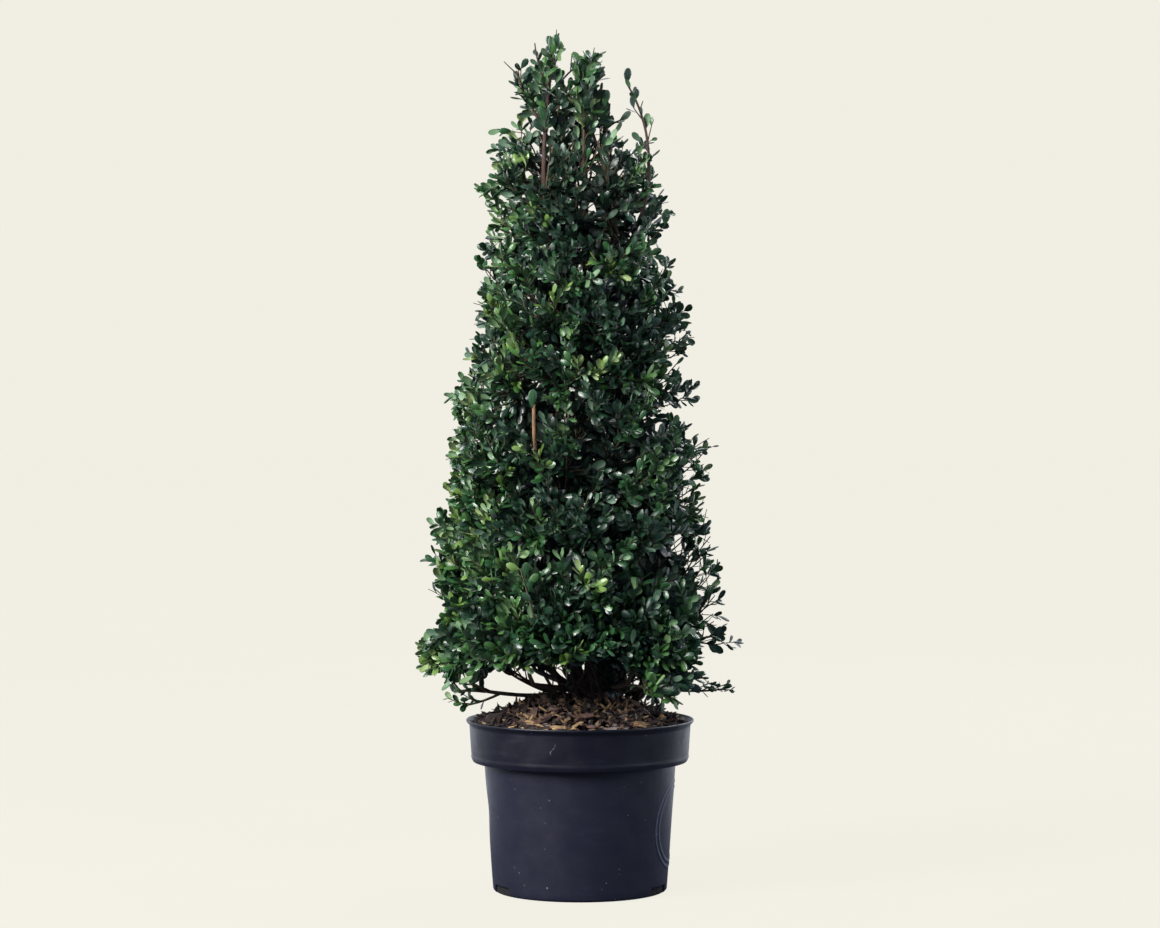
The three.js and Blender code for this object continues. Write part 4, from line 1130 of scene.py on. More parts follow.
# Places of the small gaps at the crown's axis, as x, height and radius: heights in even steps, the rest drawn
def placeGaps():
    dice = np.random.default_rng(seed + 80)
    places = [np.array(shoulderGaps + skirtGaps, float)]
    for plan in skyGaps:
        count = plan["count"]
        height = mix(plan["low"], plan["high"], (np.arange(count) + 0.5) / count)
        angle = np.full(count, 0.0 if plan["side"] > 0 else math.pi)
        skin = crownRadius(angle, height) + skinShift(angle, height)
        across = plan["side"] * (skin - dice.uniform(*plan["inset"], count))
        places.append(np.stack([across, height, dice.uniform(*plan["size"], count)], axis=-1))
    return np.concatenate(places)


# Leaves that cross a small gap: the distance from its middle to the line from root to tip is under its radius
# and a share of the leaf
def inGap(roots, tips, size):
    near = seenFromFront(roots)[..., None, :]
    along = seenFromFront(tips)[..., None, :] - near
    toGap = gapPlaces[:, :2] - near
    share = (toGap * along).sum(axis=-1) / np.maximum((along**2).sum(axis=-1), 1e-9)
    away = np.linalg.norm(toGap - np.clip(share, 0, 1)[..., None] * along, axis=-1)
    return (away < gapPlaces[:, 2] + leafing["gapShare"] * size[..., None]).any(axis=-1)


# Points inside any of the boxes: over its low corner and under its high one
def inOpening(points):
    hits = [((points > box["low"]) & (points < box["high"])).all(axis=-1) for box in openings]
    return np.any(hits, axis=0)


# Twigs: curves from start to end whose bend, a share of the way, is raised by a share of the distance
def growPaths(starts, ends, lift, rows=6):
    span = np.linalg.norm(ends - starts, axis=-1, keepdims=True)
    bends = mix(starts, ends, twigSize["bend"]) + upward * lift * span
    return curveRows(np.stack([starts, bends, ends], axis=-2), rows)


# Shoots: curves that leave their twig outwards and turn up at the end, less so in the hanging skirt
def growShootPaths(starts, ends, dice, rows=6):
    angle = np.arctan2(ends[:, 1], ends[:, 0])
    rise = mix(shootSize["hangUp"], shootSize["turnUp"], smoothStep(*shootSize["hangFrom"], ends[:, 2]))
    bends = ends - polar(angle, shootSize["turnIn"], rise) + dice.normal(0, shootSize["sway"], ends.shape)
    return curveRows(np.stack([starts, bends, ends], axis=-2), rows)


# Paths put by as twigs whose radius falls evenly from foot to tip
def keepTwigs(paths, footRadius, tipRadius):
    radii = np.broadcast_to(np.linspace(footRadius, tipRadius, paths.shape[1]), paths.shape[:2])
    twigStore.append((paths, radii))


# Points nearer to the axis than the skin of leaves, plus a margin
def underSkin(points, margin):
    angle = np.arctan2(points[..., 1], points[..., 0])
    skin = crownRadius(angle, points[..., 2]) + skinShift(angle, points[..., 2])
    return np.hypot(points[..., 0], points[..., 1]) < skin + margin


# Directions square to a twig's own and turned round it: cos t × level + sin t × (forward × level)
def roundTwig(forward, turn):
    level = unit(np.cross(nearUp, forward))
    return level * np.cos(turn)[..., None] + np.cross(forward, level) * np.sin(turn)[..., None]


# The part of a facing that is square to the heading, made one long
def squareTo(facing, heading):
    return unit(facing - heading * (facing * heading).sum(axis=-1, keepdims=True))


# Leaves round each path by the golden angle. A leaf splays from its twig, less towards the tip, and its
# upper face looks along the twig, leant up to the light. The inner leaves of a spray have darker tints.
def growLeaves(paths, leaves, bearing, tint, region, dice, scale=1.0, trim=None):
    count = len(paths)
    length = pathLengths(paths)
    step = np.arange(leaves)
    stagger, twist = leafing["stagger"], leafing["twist"]
    below = bearing * (1 - (step + 0.5) / leaves) + dice.uniform(-stagger, stagger, (count, leaves))
    shares = 1 - below / length[:, None]
    roots, forward = alongPaths(paths, shares)
    turn = (np.arange(count)[:, None] + step) * goldenAngle + dice.uniform(-twist, twist, (count, leaves))
    splay = leafing["splay"] * mix(*leafing["splayRun"], step / leaves)
    splay = splay * dice.uniform(*leafing["splayDraw"], (count, leaves))
    heading = forward * np.cos(splay)[..., None] + roundTwig(forward, turn) * np.sin(splay)[..., None]
    facing = forward + leafing["light"] * upward + dice.normal(0, leafing["scatter"], (count, leaves, 3))
    facing = squareTo(facing, heading)
    size = leafBlade["length"] * scale * dice.uniform(*leafing["size"], (count, leaves))
    size = size * mix(1.0, leafing["tipSize"], step / leaves)
    size = size * (1 + leafing["skirtSize"] * smoothStep(*leafing["skirtFrom"], roots[..., 2]))
    tip = roots + heading * size[..., None]
    keep = (shares > leafing["bare"]) & ~inOpening(tip) & ~inOpening(roots) & ~inGap(roots, tip, size)
    if trim is not None:
        angle = np.arctan2(tip[..., 1], tip[..., 0])
        keep &= underSkin(tip, trim[:, None])
        keep &= tip[..., 2] > tierEdge(tiers[0]["low"], angle) - leafing["hang"]
    tints = np.broadcast_to(tint[:, None], keep.shape).copy()
    for inner, lightest in ((leaves // 3, "mid"), (2 * leaves // 3, "fresh")):
        tints[:, :inner] = np.minimum(tints[:, :inner], tintOf[lightest])
    leafStore.append({
        "region": region,
        "roots": roots[keep],
        "heading": heading[keep],
        "facing": facing[keep],
        "size": size[keep],
        "tint": tints[keep],
        "curl": dice.uniform(*leafing["curl"], keep.sum()),
    })


# Twigs put by, with leaves on them
def growLeafy(paths, radii, leaves, bearing, tint, region, dice, scale):
    keepTwigs(paths, *radii)
    growLeaves(paths, leaves, bearing, tint, region, dice, scale)


# The number of a tint, as a list for one path
def oneTint(name):
    return np.array([tintOf[name]])


# A tint for each spray: a draw against the sums of the shares, less a lean to the right and a dark patch in
# front, as shade × exp(-x² - z²); both are painted shade, darker tints where less light falls. Where a noise
# is over a limit the spray is young.
def dealTints(points, dice, shares=crownTints):
    deal = tintDeal
    lean = deal["lean"] * np.clip(points[:, 0] / deal["leanReach"], -1, 1)
    aside = (points[:, 0] - deal["shadeX"]) / deal["shadeWide"]
    above = (points[:, 2] - deal["shadeHeight"]) / deal["shadeTall"]
    lean = lean + deal["shade"] * np.exp(-(aside**2) - above**2) * (points[:, 1] < 0)
    draw = np.clip(dice.uniform(0, 1, len(points)) - lean, 0, 1)
    tint = tintOf["deep"] + (draw[:, None] > np.cumsum(shares)[:3]).sum(axis=1)
    accent = mix(*deal["accentOver"], smoothStep(*deal["accentFrom"], points[:, 2]))
    return np.where(waveNoise(points, deal["accentSize"], 14) > accent, tintOf["young"], tint)


# For each target, the number of the twig whose point at a share is nearest
def nearestTwig(twigs, targets, share):
    reach, _ = onEach(twigs, np.full(len(twigs), share))
    return np.linalg.norm(targets[:, None, :] - reach[None], axis=-1).argmin(axis=1)


# Shoots from the nearest twig to their targets, each with leaves, and side twigs at steps from its tip that
# leave it at the spread angle
def growShoots(twigs, targets, proud, region, dice):
    trim = np.where(proud, shootSize["proudTrim"], shootSize["trim"])
    angle = np.arctan2(targets[:, 1], targets[:, 0])
    seek = targets - polar(angle, shootSize["seekIn"], shootSize["seekDown"])
    parent = nearestTwig(twigs, seek, shootSize["seekAt"])
    starts, _ = onEach(twigs[parent], dice.uniform(*shootSize["leaveAt"], len(targets)))
    paths = growShootPaths(starts, targets, dice)
    clear = ~inOpening(paths).any(axis=1)
    paths, targets, trim = paths[clear], targets[clear], trim[clear]
    count = len(paths)
    tint = dealTints(targets, dice)
    keepTwigs(paths, shootSize["footRadius"], shootSize["tipRadius"])
    growLeaves(paths, leafing["leaves"], leafing["bearing"], tint, region, dice, 1.0, trim)
    length = pathLengths(paths)
    spread = sideTwig["spread"]
    leaves, bearing = leafing["sideLeaves"], leafing["sideBearing"]
    for number, below in enumerate(sideTwig["fromTip"]):
        roots, forward = onEach(paths, 1 - below / length)
        turn = (np.arange(count) + 0.5 * number) * goldenAngle * 2
        heading = forward * math.cos(spread) + roundTwig(forward, turn) * math.sin(spread)
        ends = roots + heading * dice.uniform(*sideTwig["length"], (count, 1))
        sides = growPaths(roots, ends, sideTwig["lift"])
        clear = (length > below + sideTwig["spare"]) & ~inOpening(ends) & underSkin(ends, trim)
        keepTwigs(sides[clear], sideTwig["footRadius"], sideTwig["tipRadius"])
        growLeaves(sides[clear], leaves, bearing, tint[clear], region, dice, sideTwig["leaf"], trim[clear])


# Dark leaves deeper in the crown, painted shade by their shaded tint, on short shoots from the middle of the
# nearest twig
def growInner(twigs, targets, plan, region, dice):
    parent = nearestTwig(twigs, targets, innerTwig["seekAt"])
    starts, _ = onEach(twigs[parent], dice.uniform(*innerTwig["leaveAt"], len(targets)))
    paths = growPaths(starts, targets, innerTwig["lift"])
    paths = paths[~inOpening(paths).any(axis=1)]
    tint = dice.choice([tintOf[name] for name in plan["tints"]], len(paths))
    radii = shootSize["footRadius"], shootSize["tipRadius"]
    growLeafy(paths, radii, plan["leaves"], plan["bearing"], tint, region, dice, plan["scale"])


# Targets spread evenly over a cell's skin, at a depth under it, that follow the skin's forms by a share. A
# draw thins them in the hollows, towards the right side, up to the top and between clumps.
def skinTargets(cell, count, depth, dice, follow=1.0, clumped=False, over=-0.02):
    order = np.arange(count) + 0.5
    angle = mix(cell["from"], cell["to"], (1 + 2 * over) * ((order * goldenShare) % 1) - over)
    low, high = tierEdge(cell["low"], angle), tierEdge(cell["high"], angle)
    height = mix(low, high, 0.02 + 0.96 * order / count)
    shift = skinShift(angle, height)
    radius = crownRadius(angle, height) + follow * shift - depth * dice.uniform(0.6, 1.5, count)
    outer = depth < thinning["outer"]
    thin = thinning["hollow"] * smoothStep(*thinning["hollowFrom"], -follow * shift)
    thin = thin + thinning["right"] * smoothStep(*thinning["rightFrom"], np.cos(angle)) * outer
    thin = thin + thinning["top"] * smoothStep(*thinning["topFrom"], height) * outer
    if clumped:
        cloud = waveNoise(polar(angle, crownRadius(angle, height), height), clump["size"], 13)
        thin = thin + clump["share"] * smoothStep(clump["full"], clump["bare"], cloud)
    return polar(angle, radius, height)[dice.uniform(0, 1, count) > thin]


# The shoots that stand out of a cell's skin, each ending a little in and down from its leaves' tips
def proudTargets(cell):
    angle, height, reach = (np.array([shoot[key] for shoot in proudShoots], float) for key in proudShoots[0])
    angle = np.radians(angle)
    turn = (angle - cell["from"]) % (2 * math.pi)
    low, high = tierEdge(cell["low"], angle), tierEdge(cell["high"], angle)
    inside = (turn < cell["to"] - cell["from"]) & (height > low) & (height < high)
    return polar(angle, reach - proudTip["inward"], height - proudTip["down"])[inside]


# The place on the leader nearest to a hub that lies a step under the hub's height
def nearestOnLeader(hub):
    best = min(leaderPaths.values(), key=lambda path: np.linalg.norm(path - hub, axis=-1).min())
    below = best[best[:, 2] < hub[2] - hubPlan["under"]]
    return below[-1] if len(below) else best[0]


# A mass: a stem from its bough or leader to its hub, twigs from the stem, shoots from the twigs
def growTierMass(tier, index):
    dice = np.random.default_rng(seed + 100 * tier["low"] + index)
    width = 2 * math.pi / tier["sectors"]
    middle = math.radians(tier["first"]) + index * width
    cell = {"from": middle - width / 2, "to": middle + width / 2, "low": tier["low"], "high": tier["high"]}
    low, high = (float(tierEdge(tier[key], np.array([middle]))[0]) for key in ("low", "high"))
    low = max(low, hubPlan["lowest"])
    onBough = tier["name"] == "skirt"
    reach = bough["reach"] + hubPlan["pastBough"] if onBough else tier["hollow"] + hubPlan["pastHollow"]
    hub = polar(middle, reach, mix(low, high, hubPlan["share"]))
    root = boughPaths[index][-1] if onBough else nearestOnLeader(hub)
    stem = growPaths(root[None], hub[None], hubPlan["lift"], 9)
    if onBough:
        onward = root + unit(root - boughPaths[index][-2]) * hubPlan["onward"]
        stem = curveRows(np.array([[root, onward, hub]]), 9)
    keepTwigs(curveRows(stem[:, ::4], 6), stemSize["footRadius"], stemSize["tipRadius"])
    ends = skinTargets(cell, tier["twigs"], twigSize["depth"], dice)
    lift = (ends[:, 2] - ends[:, 2].min()) / np.ptp(ends[:, 2])
    starts, _ = alongOne(stem[0], mix(hubPlan["twigsFrom"], 1, lift))
    twigs = growPaths(starts, ends, twigSize["lift"])
    twigs = twigs[~inOpening(twigs).any(axis=1)]
    keepTwigs(twigs, twigSize["footRadius"], twigSize["tipRadius"])
    even = skinTargets(cell, tier["shoots"], shootSize["depth"], dice, clumped=True)
    proud = proudTargets(cell)
    region = "crest" if tier["name"] == "shoulder" else tier["name"]
    standsOut = np.arange(len(even) + len(proud)) >= len(even)
    growShoots(twigs, np.concatenate([even, proud]), standsOut, region, dice)
    for name, plan in (("under", underShoot), ("inner", innerShoot)):
        targets = skinTargets(cell, tier[name], plan["depth"], dice, plan["follow"], over=0.05)
        growInner(twigs, targets, plan, region, dice)


# Leaves in the shaded tint, painted shade, close to the leaders, on short shoots all the way up
coreShoots = {
    "count": 68, "low": 0.12, "high": 0.95, "length": (14, 34), "rise": 0.4, "lift": 0.1,
    "radii": (1.2, 0.7), "leaves": 7, "bearing": 30, "scale": 1.25,
}
regionTops = {"skirt": 425, "middle": 600, "upper": 770, "crest": 999}


# Shoots in even steps up each leader, turned by the golden angle: root + length × unit(sideways)
def growCore():
    for index, path in enumerate(leaderPaths.values()):
        dice = np.random.default_rng(seed + 70 + index)
        count = coreShoots["count"]
        roots, _ = alongOne(path, np.linspace(coreShoots["low"], coreShoots["high"], count))
        sideways = polar(np.arange(count) * goldenAngle + index, 1.0, coreShoots["rise"])
        ends = roots + unit(sideways) * dice.uniform(*coreShoots["length"], (count, 1))
        shoots = growPaths(roots, ends, coreShoots["lift"])
        clear = ~inOpening(shoots).any(axis=1)
        shoots, ends = shoots[clear], ends[clear]
        keepTwigs(shoots, *coreShoots["radii"])
        low = 0
        for region, high in regionTops.items():
            inside = (ends[:, 2] >= low) & (ends[:, 2] < high)
            tint = np.full(int(inside.sum()), tintOf["shaded"])
            leaves, bearing = coreShoots["leaves"], coreShoots["bearing"]
            growLeaves(shoots[inside], leaves, bearing, tint, region, dice, coreShoots["scale"])
            low = high


gapPlaces = placeGaps()
growCore()
for tier in tiers:
    for index in range(tier["sectors"]):
        growTierMass(tier, index)
print("tier masses grown")


# The ragged top: each leader is carried on to its tip, with twigs all round it
tops = rowsOf(
    "side tip bend twigs leaves shoots reach",
    ("left", (-36, -16, 1010), (-44, -14, 964), 12, 6, 1, 38),
    ("middle", (7, -18, 998), (7, -4, 960), 11, 6, 1, 26),
    ("right", (40, 8, 952), (36, 8, 944), 4, 4, 0, 20),
)
topTwig = {
    "onward": 16, "stemTip": 1.5, "last": 0.95, "rise": (0.5, 1.3), "under": 8, "cut": 3,
    "shortest": 14, "radii": (1.5, 0.8), "bearing": 28, "leaf": 1.15,
}
topShoot = {"from": (0.3, 0.8), "rise": 1.1, "scatter": 0.5, "length": 24, "leaves": 5, "bearing": 22}


# A tuft: a curved stem to the tip, and twigs round it by the golden angle that point up more towards the tip.
# Each twig is shortened in steps until its end is under the skin.
def growTop(top, index):
    dice = np.random.default_rng(seed + 7 * index)
    path = leaderPaths[top["side"]]
    onward = path[-1] + unit(path[-1] - path[-2]) * topTwig["onward"]
    controls = np.array([[path[-1], onward, top["bend"], top["tip"]]], float)
    stem = curveRows(controls, 6)
    keepTwigs(stem, leader["tipRadius"], topTwig["stemTip"])
    order = np.arange(top["twigs"])
    share = mix(0.0, topTwig["last"], (order + 0.5) / len(order))
    starts, _ = alongOne(stem[0], share)
    rise = mix(*topTwig["rise"], share)
    length = np.full(len(order), float(top["reach"]))
    for _ in range(12):
        ends = starts + polar(order * goldenAngle, length, rise * length)
        skin = crownRadius(np.arctan2(ends[:, 1], ends[:, 0]), ends[:, 2]) - topTwig["under"]
        over = np.hypot(ends[:, 0], ends[:, 1]) > skin
        length = np.where(over & (length > topTwig["shortest"]), length - topTwig["cut"], length)
    clear = ~inOpening(ends)
    twigs = growPaths(starts[clear], ends[clear], twigSize["lift"])
    tint = dealTints(ends[clear], dice, topTints)
    leaf = topTwig["leaf"]
    growLeafy(twigs, topTwig["radii"], top["leaves"], topTwig["bearing"], tint, "crest", dice, leaf)
    for _ in range(top["shoots"]):
        roots, forward = onEach(twigs, dice.uniform(*topShoot["from"], len(twigs)))
        stray = dice.normal(0, topShoot["scatter"], (len(twigs), 3))
        heading = unit(forward + topShoot["rise"] * upward + stray)
        shoots = growPaths(roots, roots + topShoot["length"] * heading, 0.0)
        growLeafy(shoots, fineTwig, topShoot["leaves"], topShoot["bearing"], tint, "crest", dice, leaf)


for index, top in enumerate(tops):
    growTop(top, index)


# Upright shoots whose bark shows through the thin shoulder, each from a leader to its place in the top
risers = rowsOf(
    "from height bends tip radius shoots leaves last bark",
    ("left", 760, [(-50, -36, 840), (-48, -22, 950)], (-26, -16, 1050), 4.0, 11, 5, 0.99, "red"),
    ("middle", 780, [(4, -34, 850), (3, -48, 950)], (8, -22, 1010), 1.9, 14, 6, 0.99, "olive"),
    ("right", 760, [(86, -22, 810), (104, -20, 915)], (57, -6, 990), 2.8, 8, 3, 0.86, "red"),
    ("right", 790, [(46, 46, 850), (44, 50, 910)], (24, 34, 955), 3.0, 9, 5, 0.99, "red"),
    ("left", 790, [(-44, 46, 850), (-46, 52, 920)], (-40, 30, 975), 3.0, 9, 5, 0.99, "red"),
)
riserShoot = {
    "first": 0.5, "tipRadius": 1.1, "sides": 12, "spread": 0.7, "rise": 0.1, "length": (12, 28),
    "lift": -0.05, "bearing": 24, "tipLeaves": 5, "tipBearing": 26,
}
# two bare ends: a fine twig over the left tuft, and a thick one that was cut, with leafy shoots round it
bareEnds = rowsOf(
    "from bend to footRadius tipRadius",
    ((-41, -29, 985), (-52, -27, 1008), (-55, -26, 1037), 1.4, 0.8),
    ((-42, -14, 932), (-62, -10, 960), (-78, -18, 1004), 1.6, 1.6),
)
bareRows = {"all": 24, "leafy": 18}
cutEnd = {
    "shoots": 13, "low": 0.25, "high": 0.95, "spread": 1.0, "rise": 0.2, "length": (10, 24),
    "leaves": 4, "bearing": 18,
}


# Roots and ends of shoots round a line by the golden angle: root + length × unit(forward + sideways)
def roundLine(line, shares, plan, first, dice):
    roots, forward = alongOne(line, shares)
    sideways = polar(np.arange(len(shares)) * goldenAngle + first, plan["spread"], plan["rise"])
    return roots, roots + unit(forward + sideways) * dice.uniform(*plan["length"], (len(shares), 1))


# Risers and bare ends as tapering curves with bark, and leafy shoots on their upper part
def growRisers():
    dice = np.random.default_rng(seed + 40)
    grids = {"red": [], "olive": []}
    plan, leaf = riserShoot, topTwig["leaf"]
    tipLeaves = plan["tipLeaves"], plan["tipBearing"]
    for number, riser in enumerate(risers):
        root = atHeight(leaderPaths[riser["from"]], riser["height"])
        line = curveRows(np.array([root, *riser["bends"], riser["tip"]], float), 56)
        rind = taperGrid(line, riser["radius"], plan["tipRadius"], plan["sides"], 120 + 3 * number)
        grids[riser["bark"]].append(rind)
        shares = np.linspace(plan["first"], riser["last"], riser["shoots"])
        roots, ends = roundLine(line, shares, plan, number, dice)
        clear = ~inOpening(ends)
        shoots = growPaths(roots[clear], ends[clear], plan["lift"])
        tint = dealTints(ends[clear], dice, topTints)
        growLeafy(shoots, fineTwig, riser["leaves"], plan["bearing"], tint, "crest", dice, leaf)
        growLeaves(line[None], *tipLeaves, oneTint("mid"), "crest", dice, leaf)
    for number, end in enumerate(bareEnds):
        controls = np.array([end["from"], end["bend"], end["to"]], float)
        line = curveRows(controls, bareRows["all"])
        rind = taperGrid(line, end["footRadius"], end["tipRadius"], plan["sides"], 150 + 3 * number)
        grids["red"].append(rind)
        growLeaves(line[None, : bareRows["leafy"]], *tipLeaves, oneTint("deep"), "crest", dice)
    shares = np.linspace(cutEnd["low"], cutEnd["high"], cutEnd["shoots"])
    roots, ends = roundLine(line, shares, cutEnd, 0, dice)
    shoots, tint = growPaths(roots, ends, 0.0), dealTints(ends, dice, topTints)
    growLeafy(shoots, fineTwig, cutEnd["leaves"], cutEnd["bearing"], tint, "crest", dice, leaf)
    for name, finish in (("red", barkRed), ("olive", barkOlive)):
        points, faces, uv = joinGrids(grids[name])
        makePiece("top_shoots_" + name, points, faces, finish, uv)


growRisers()


# Low sprigs that hang out over the rim, and the forks at the ends of the side boughs
sprigs = rowsOf(
    "bough from angle reach drop shoots leaf",
    (3, 0.74, 184, 142, 14, 4, 0.62),
    (0, 0.74, 356, 176, 0, 4, 0.5),
)
sprigStem = {"lift": -0.08, "radii": (1.8, 1.0), "leaves": 7, "bearing": 44}
sprigShoot = {
    "low": 0.5, "high": 0.92, "turn": 0.8, "rise": (0.0, 0.5), "length": 30, "leaves": 5, "bearing": 22,
}
forks = rowsOf(
    "bough from to",
    (3, 0.86, (-134, -8, 254)),
    (3, 0.9, (-150, 6, 244)),
    (0, 0.8, (150, -6, 262)),
)
forkStem = {"lift": 0.06, "radii": (2.6, 1.3), "leaves": 5, "bearing": 22, "leaf": 0.7}
# green sprays that hang down over the mulch at the front right
lowSprays = rowsOf(
    "bough from to shoots leaf",
    (5, 0.92, (86, -150, 257), 6, 1.05),
    (5, 0.96, (104, -134, 251), 4, 0.9),
)
sprayStem = {"lift": 0.1, "radii": (1.8, 0.9), "leaves": 8, "bearing": 36}
sprayShoot = {"low": 0.4, "high": 0.95, "scatter": 0.6, "length": 20, "leaves": 5, "bearing": 18}


# A leafy branch from a share of a bough to a place
def growBranch(plan, place, stem, tint, dice, leaf):
    root, _ = alongOne(boughPaths[plan["bough"]], plan["from"])
    branch = growPaths(root, np.array([place], float), stem["lift"])
    growLeafy(branch, stem["radii"], stem["leaves"], stem["bearing"], oneTint(tint), "skirt", dice, leaf)
    return branch[0]


# Leafy branches, some with shoots in even steps: on a sprig they turn to either side of it by an angle, on a
# spray each heads along it with a drawn stray
def growSprigs():
    dice = np.random.default_rng(seed + 60)
    for sprig in sprigs:
        root, _ = alongOne(boughPaths[sprig["bough"]], sprig["from"])
        place = polar(math.radians(sprig["angle"]), sprig["reach"], root[0, 2] - sprig["drop"])
        branch = growBranch(sprig, place, sprigStem, "mid", dice, sprig["leaf"])
        plan, count = sprigShoot, sprig["shoots"]
        roots, forward = alongOne(branch, np.linspace(plan["low"], plan["high"], count))
        turn = np.where(np.arange(count) % 2 == 0, plan["turn"], -plan["turn"])
        x, y = spin(forward[:, :1], forward[:, 1:2], turn)
        heading = unit(np.concatenate([x, y, dice.uniform(*plan["rise"], (count, 1))], axis=-1))
        shoots = growPaths(roots, roots + plan["length"] * heading, 0.0)
        tint = dealTints(roots, dice)
        growLeafy(shoots, fineTwig, plan["leaves"], plan["bearing"], tint, "skirt", dice, sprig["leaf"])
    for fork in forks:
        growBranch(fork, fork["to"], forkStem, "mid", dice, forkStem["leaf"])
    for spray in lowSprays:
        branch = growBranch(spray, spray["to"], sprayStem, "fresh", dice, spray["leaf"])
        plan, count = sprayShoot, spray["shoots"]
        roots, forward = alongOne(branch, np.linspace(plan["low"], plan["high"], count))
        heading = unit(forward + dice.normal(0, plan["scatter"], (count, 3)))
        shoots = growPaths(roots, roots + plan["length"] * heading, 0.0)
        tint = dice.choice([tintOf["mid"], tintOf["fresh"]], count)
        growLeafy(shoots, fineTwig, plan["leaves"], plan["bearing"], tint, "skirt", dice, spray["leaf"])


growSprigs()


# Leaves that stand by themselves: over the pruned shoot, on an upright spray of the skirt, round the leader's
# bare tip, before the left riser, at the end of the right one, on the middle tuft and at the right edge
singleLeaves = rowsOf(
    "region root heading size tint",
    ("middle", (-57, -119, 593), (0.05, -0.12, 1.0), 23, "mid"),
    ("skirt", (-70, -176, 404), (-0.9, -0.1, 0.35), 18, "young"),
    ("skirt", (-65, -175, 394), (0.12, -0.2, 1.0), 19, "mid"),
    ("skirt", (-62, -174, 385), (0.7, -0.2, 0.75), 19, "fresh"),
    ("skirt", (-60, -173, 377), (0.1, -0.3, 0.7), 15, "mid"),
    ("skirt", (-57, -171, 366), (-0.6, -0.3, 0.6), 16, "mid"),
    ("crest", (-30, -18, 1028), (-0.5, -0.1, 1.0), 21, "deep"),
    ("crest", (-28, -18, 1031), (-0.05, -0.1, 1.0), 18, "mid"),
    ("crest", (-33, -18, 1014), (-0.3, -0.1, 1.0), 22, "deep"),
    ("crest", (-44, -28, 928), (-0.6, -0.2, 0.8), 20, "deep"),
    ("crest", (-43, -28, 932), (0.7, -0.2, 0.7), 20, "mid"),
    ("crest", (-42, -27, 942), (-0.3, -0.2, 0.9), 20, "mid"),
    ("crest", (-41, -27, 948), (0.5, -0.2, 0.8), 19, "deep"),
    ("crest", (-41, -26, 958), (-0.6, -0.1, 0.6), 19, "fresh"),
    ("crest", (57, -7, 989), (0.12, -0.1, 1.0), 20, "deep"),
    ("crest", (64, -10, 966), (0.4, -0.1, 1.0), 18, "deep"),
    ("crest", (8, -24, 1010), (0.08, -0.1, 1.0), 19, "mid"),
    ("crest", (16, -24, 996), (0.4, -0.1, 1.0), 20, "deep"),
    ("crest", (4, -26, 1000), (-0.45, -0.1, 1.0), 18, "deep"),
    ("crest", (29, -24, 960), (0.25, -0.1, 1.0), 21, "fresh"),
    ("crest", (103, -10, 815), (0.2, -0.1, 1.0), 22, "mid"),
)
singleLeaf = {"facing": (0.15, -1.0, 0.05), "curl": 0.8, "stalkLift": 0.05, "stalkTip": 0.5}
leafStalks = rowsOf(
    "from to radius",
    ((80, -8, 790), (103, -10, 816), 1.0),
    ((6, -36, 930), (29, -24, 961), 1.0),
    ((-51, -164, 334), (-70, -176, 405), 1.6),
    ((-40, -110, 310), (-51, -164, 335), 1.6),
    ((8, -24, 985), (16, -24, 997), 1.0),
)


# Each leaf at its own place and heading, with its face to the front, and the stalks under some of them
def growSingles():
    for leaf in singleLeaves:
        heading = unit(np.array([leaf["heading"]], float))
        leafStore.append({
            "region": leaf["region"],
            "roots": np.array([leaf["root"]], float),
            "heading": heading,
            "facing": squareTo(np.array([singleLeaf["facing"]]), heading),
            "size": np.array([float(leaf["size"])]),
            "tint": oneTint(leaf["tint"]),
            "curl": np.array([singleLeaf["curl"]]),
        })
    for stalk in leafStalks:
        foot, end = (np.array([stalk[key]], float) for key in ("from", "to"))
        path = growPaths(foot, end, singleLeaf["stalkLift"])
        keepTwigs(path, stalk["radius"], singleLeaf["stalkTip"] * stalk["radius"])


growSingles()


# Short shoots on the base stems, mostly in the shaded tint as painted shade, fill the shade over the mulch
baseShoots = {
    "shoots": 5, "from": (0.3, 0.95), "scatter": 0.8, "length": (14, 30), "overMulch": 8,
    "lift": 0.05, "radii": (1.0, 0.5), "leaves": 6, "bearing": 26, "scale": 0.72,
    "shares": [0.9, 0.1],
}


# Shoots at drawn shares of each stem, heading along it with a drawn stray and kept over the mound
def growBaseShoots():
    dice = np.random.default_rng(seed + 90)
    plan = baseShoots
    for paths in basePaths:
        stems = np.repeat(paths, plan["shoots"], axis=0)
        count = len(stems)
        roots, forward = onEach(stems, dice.uniform(*plan["from"], count))
        heading = unit(forward + dice.normal(0, plan["scatter"], (count, 3)))
        ends = roots + heading * dice.uniform(*plan["length"], (count, 1))
        floor = mulchHeight(np.hypot(ends[:, 0], ends[:, 1])) + plan["overMulch"]
        ends[:, 2] = np.maximum(ends[:, 2], floor)
        clear = ~inOpening(ends)
        shoots = growPaths(roots[clear], ends[clear], plan["lift"])
        tint = dice.choice([tintOf["shaded"], tintOf["deep"]], len(shoots), p=plan["shares"])
        growLeafy(shoots, plan["radii"], plan["leaves"], plan["bearing"], tint, "skirt", dice, plan["scale"])


growBaseShoots()
print("tops, risers and sprigs grown")


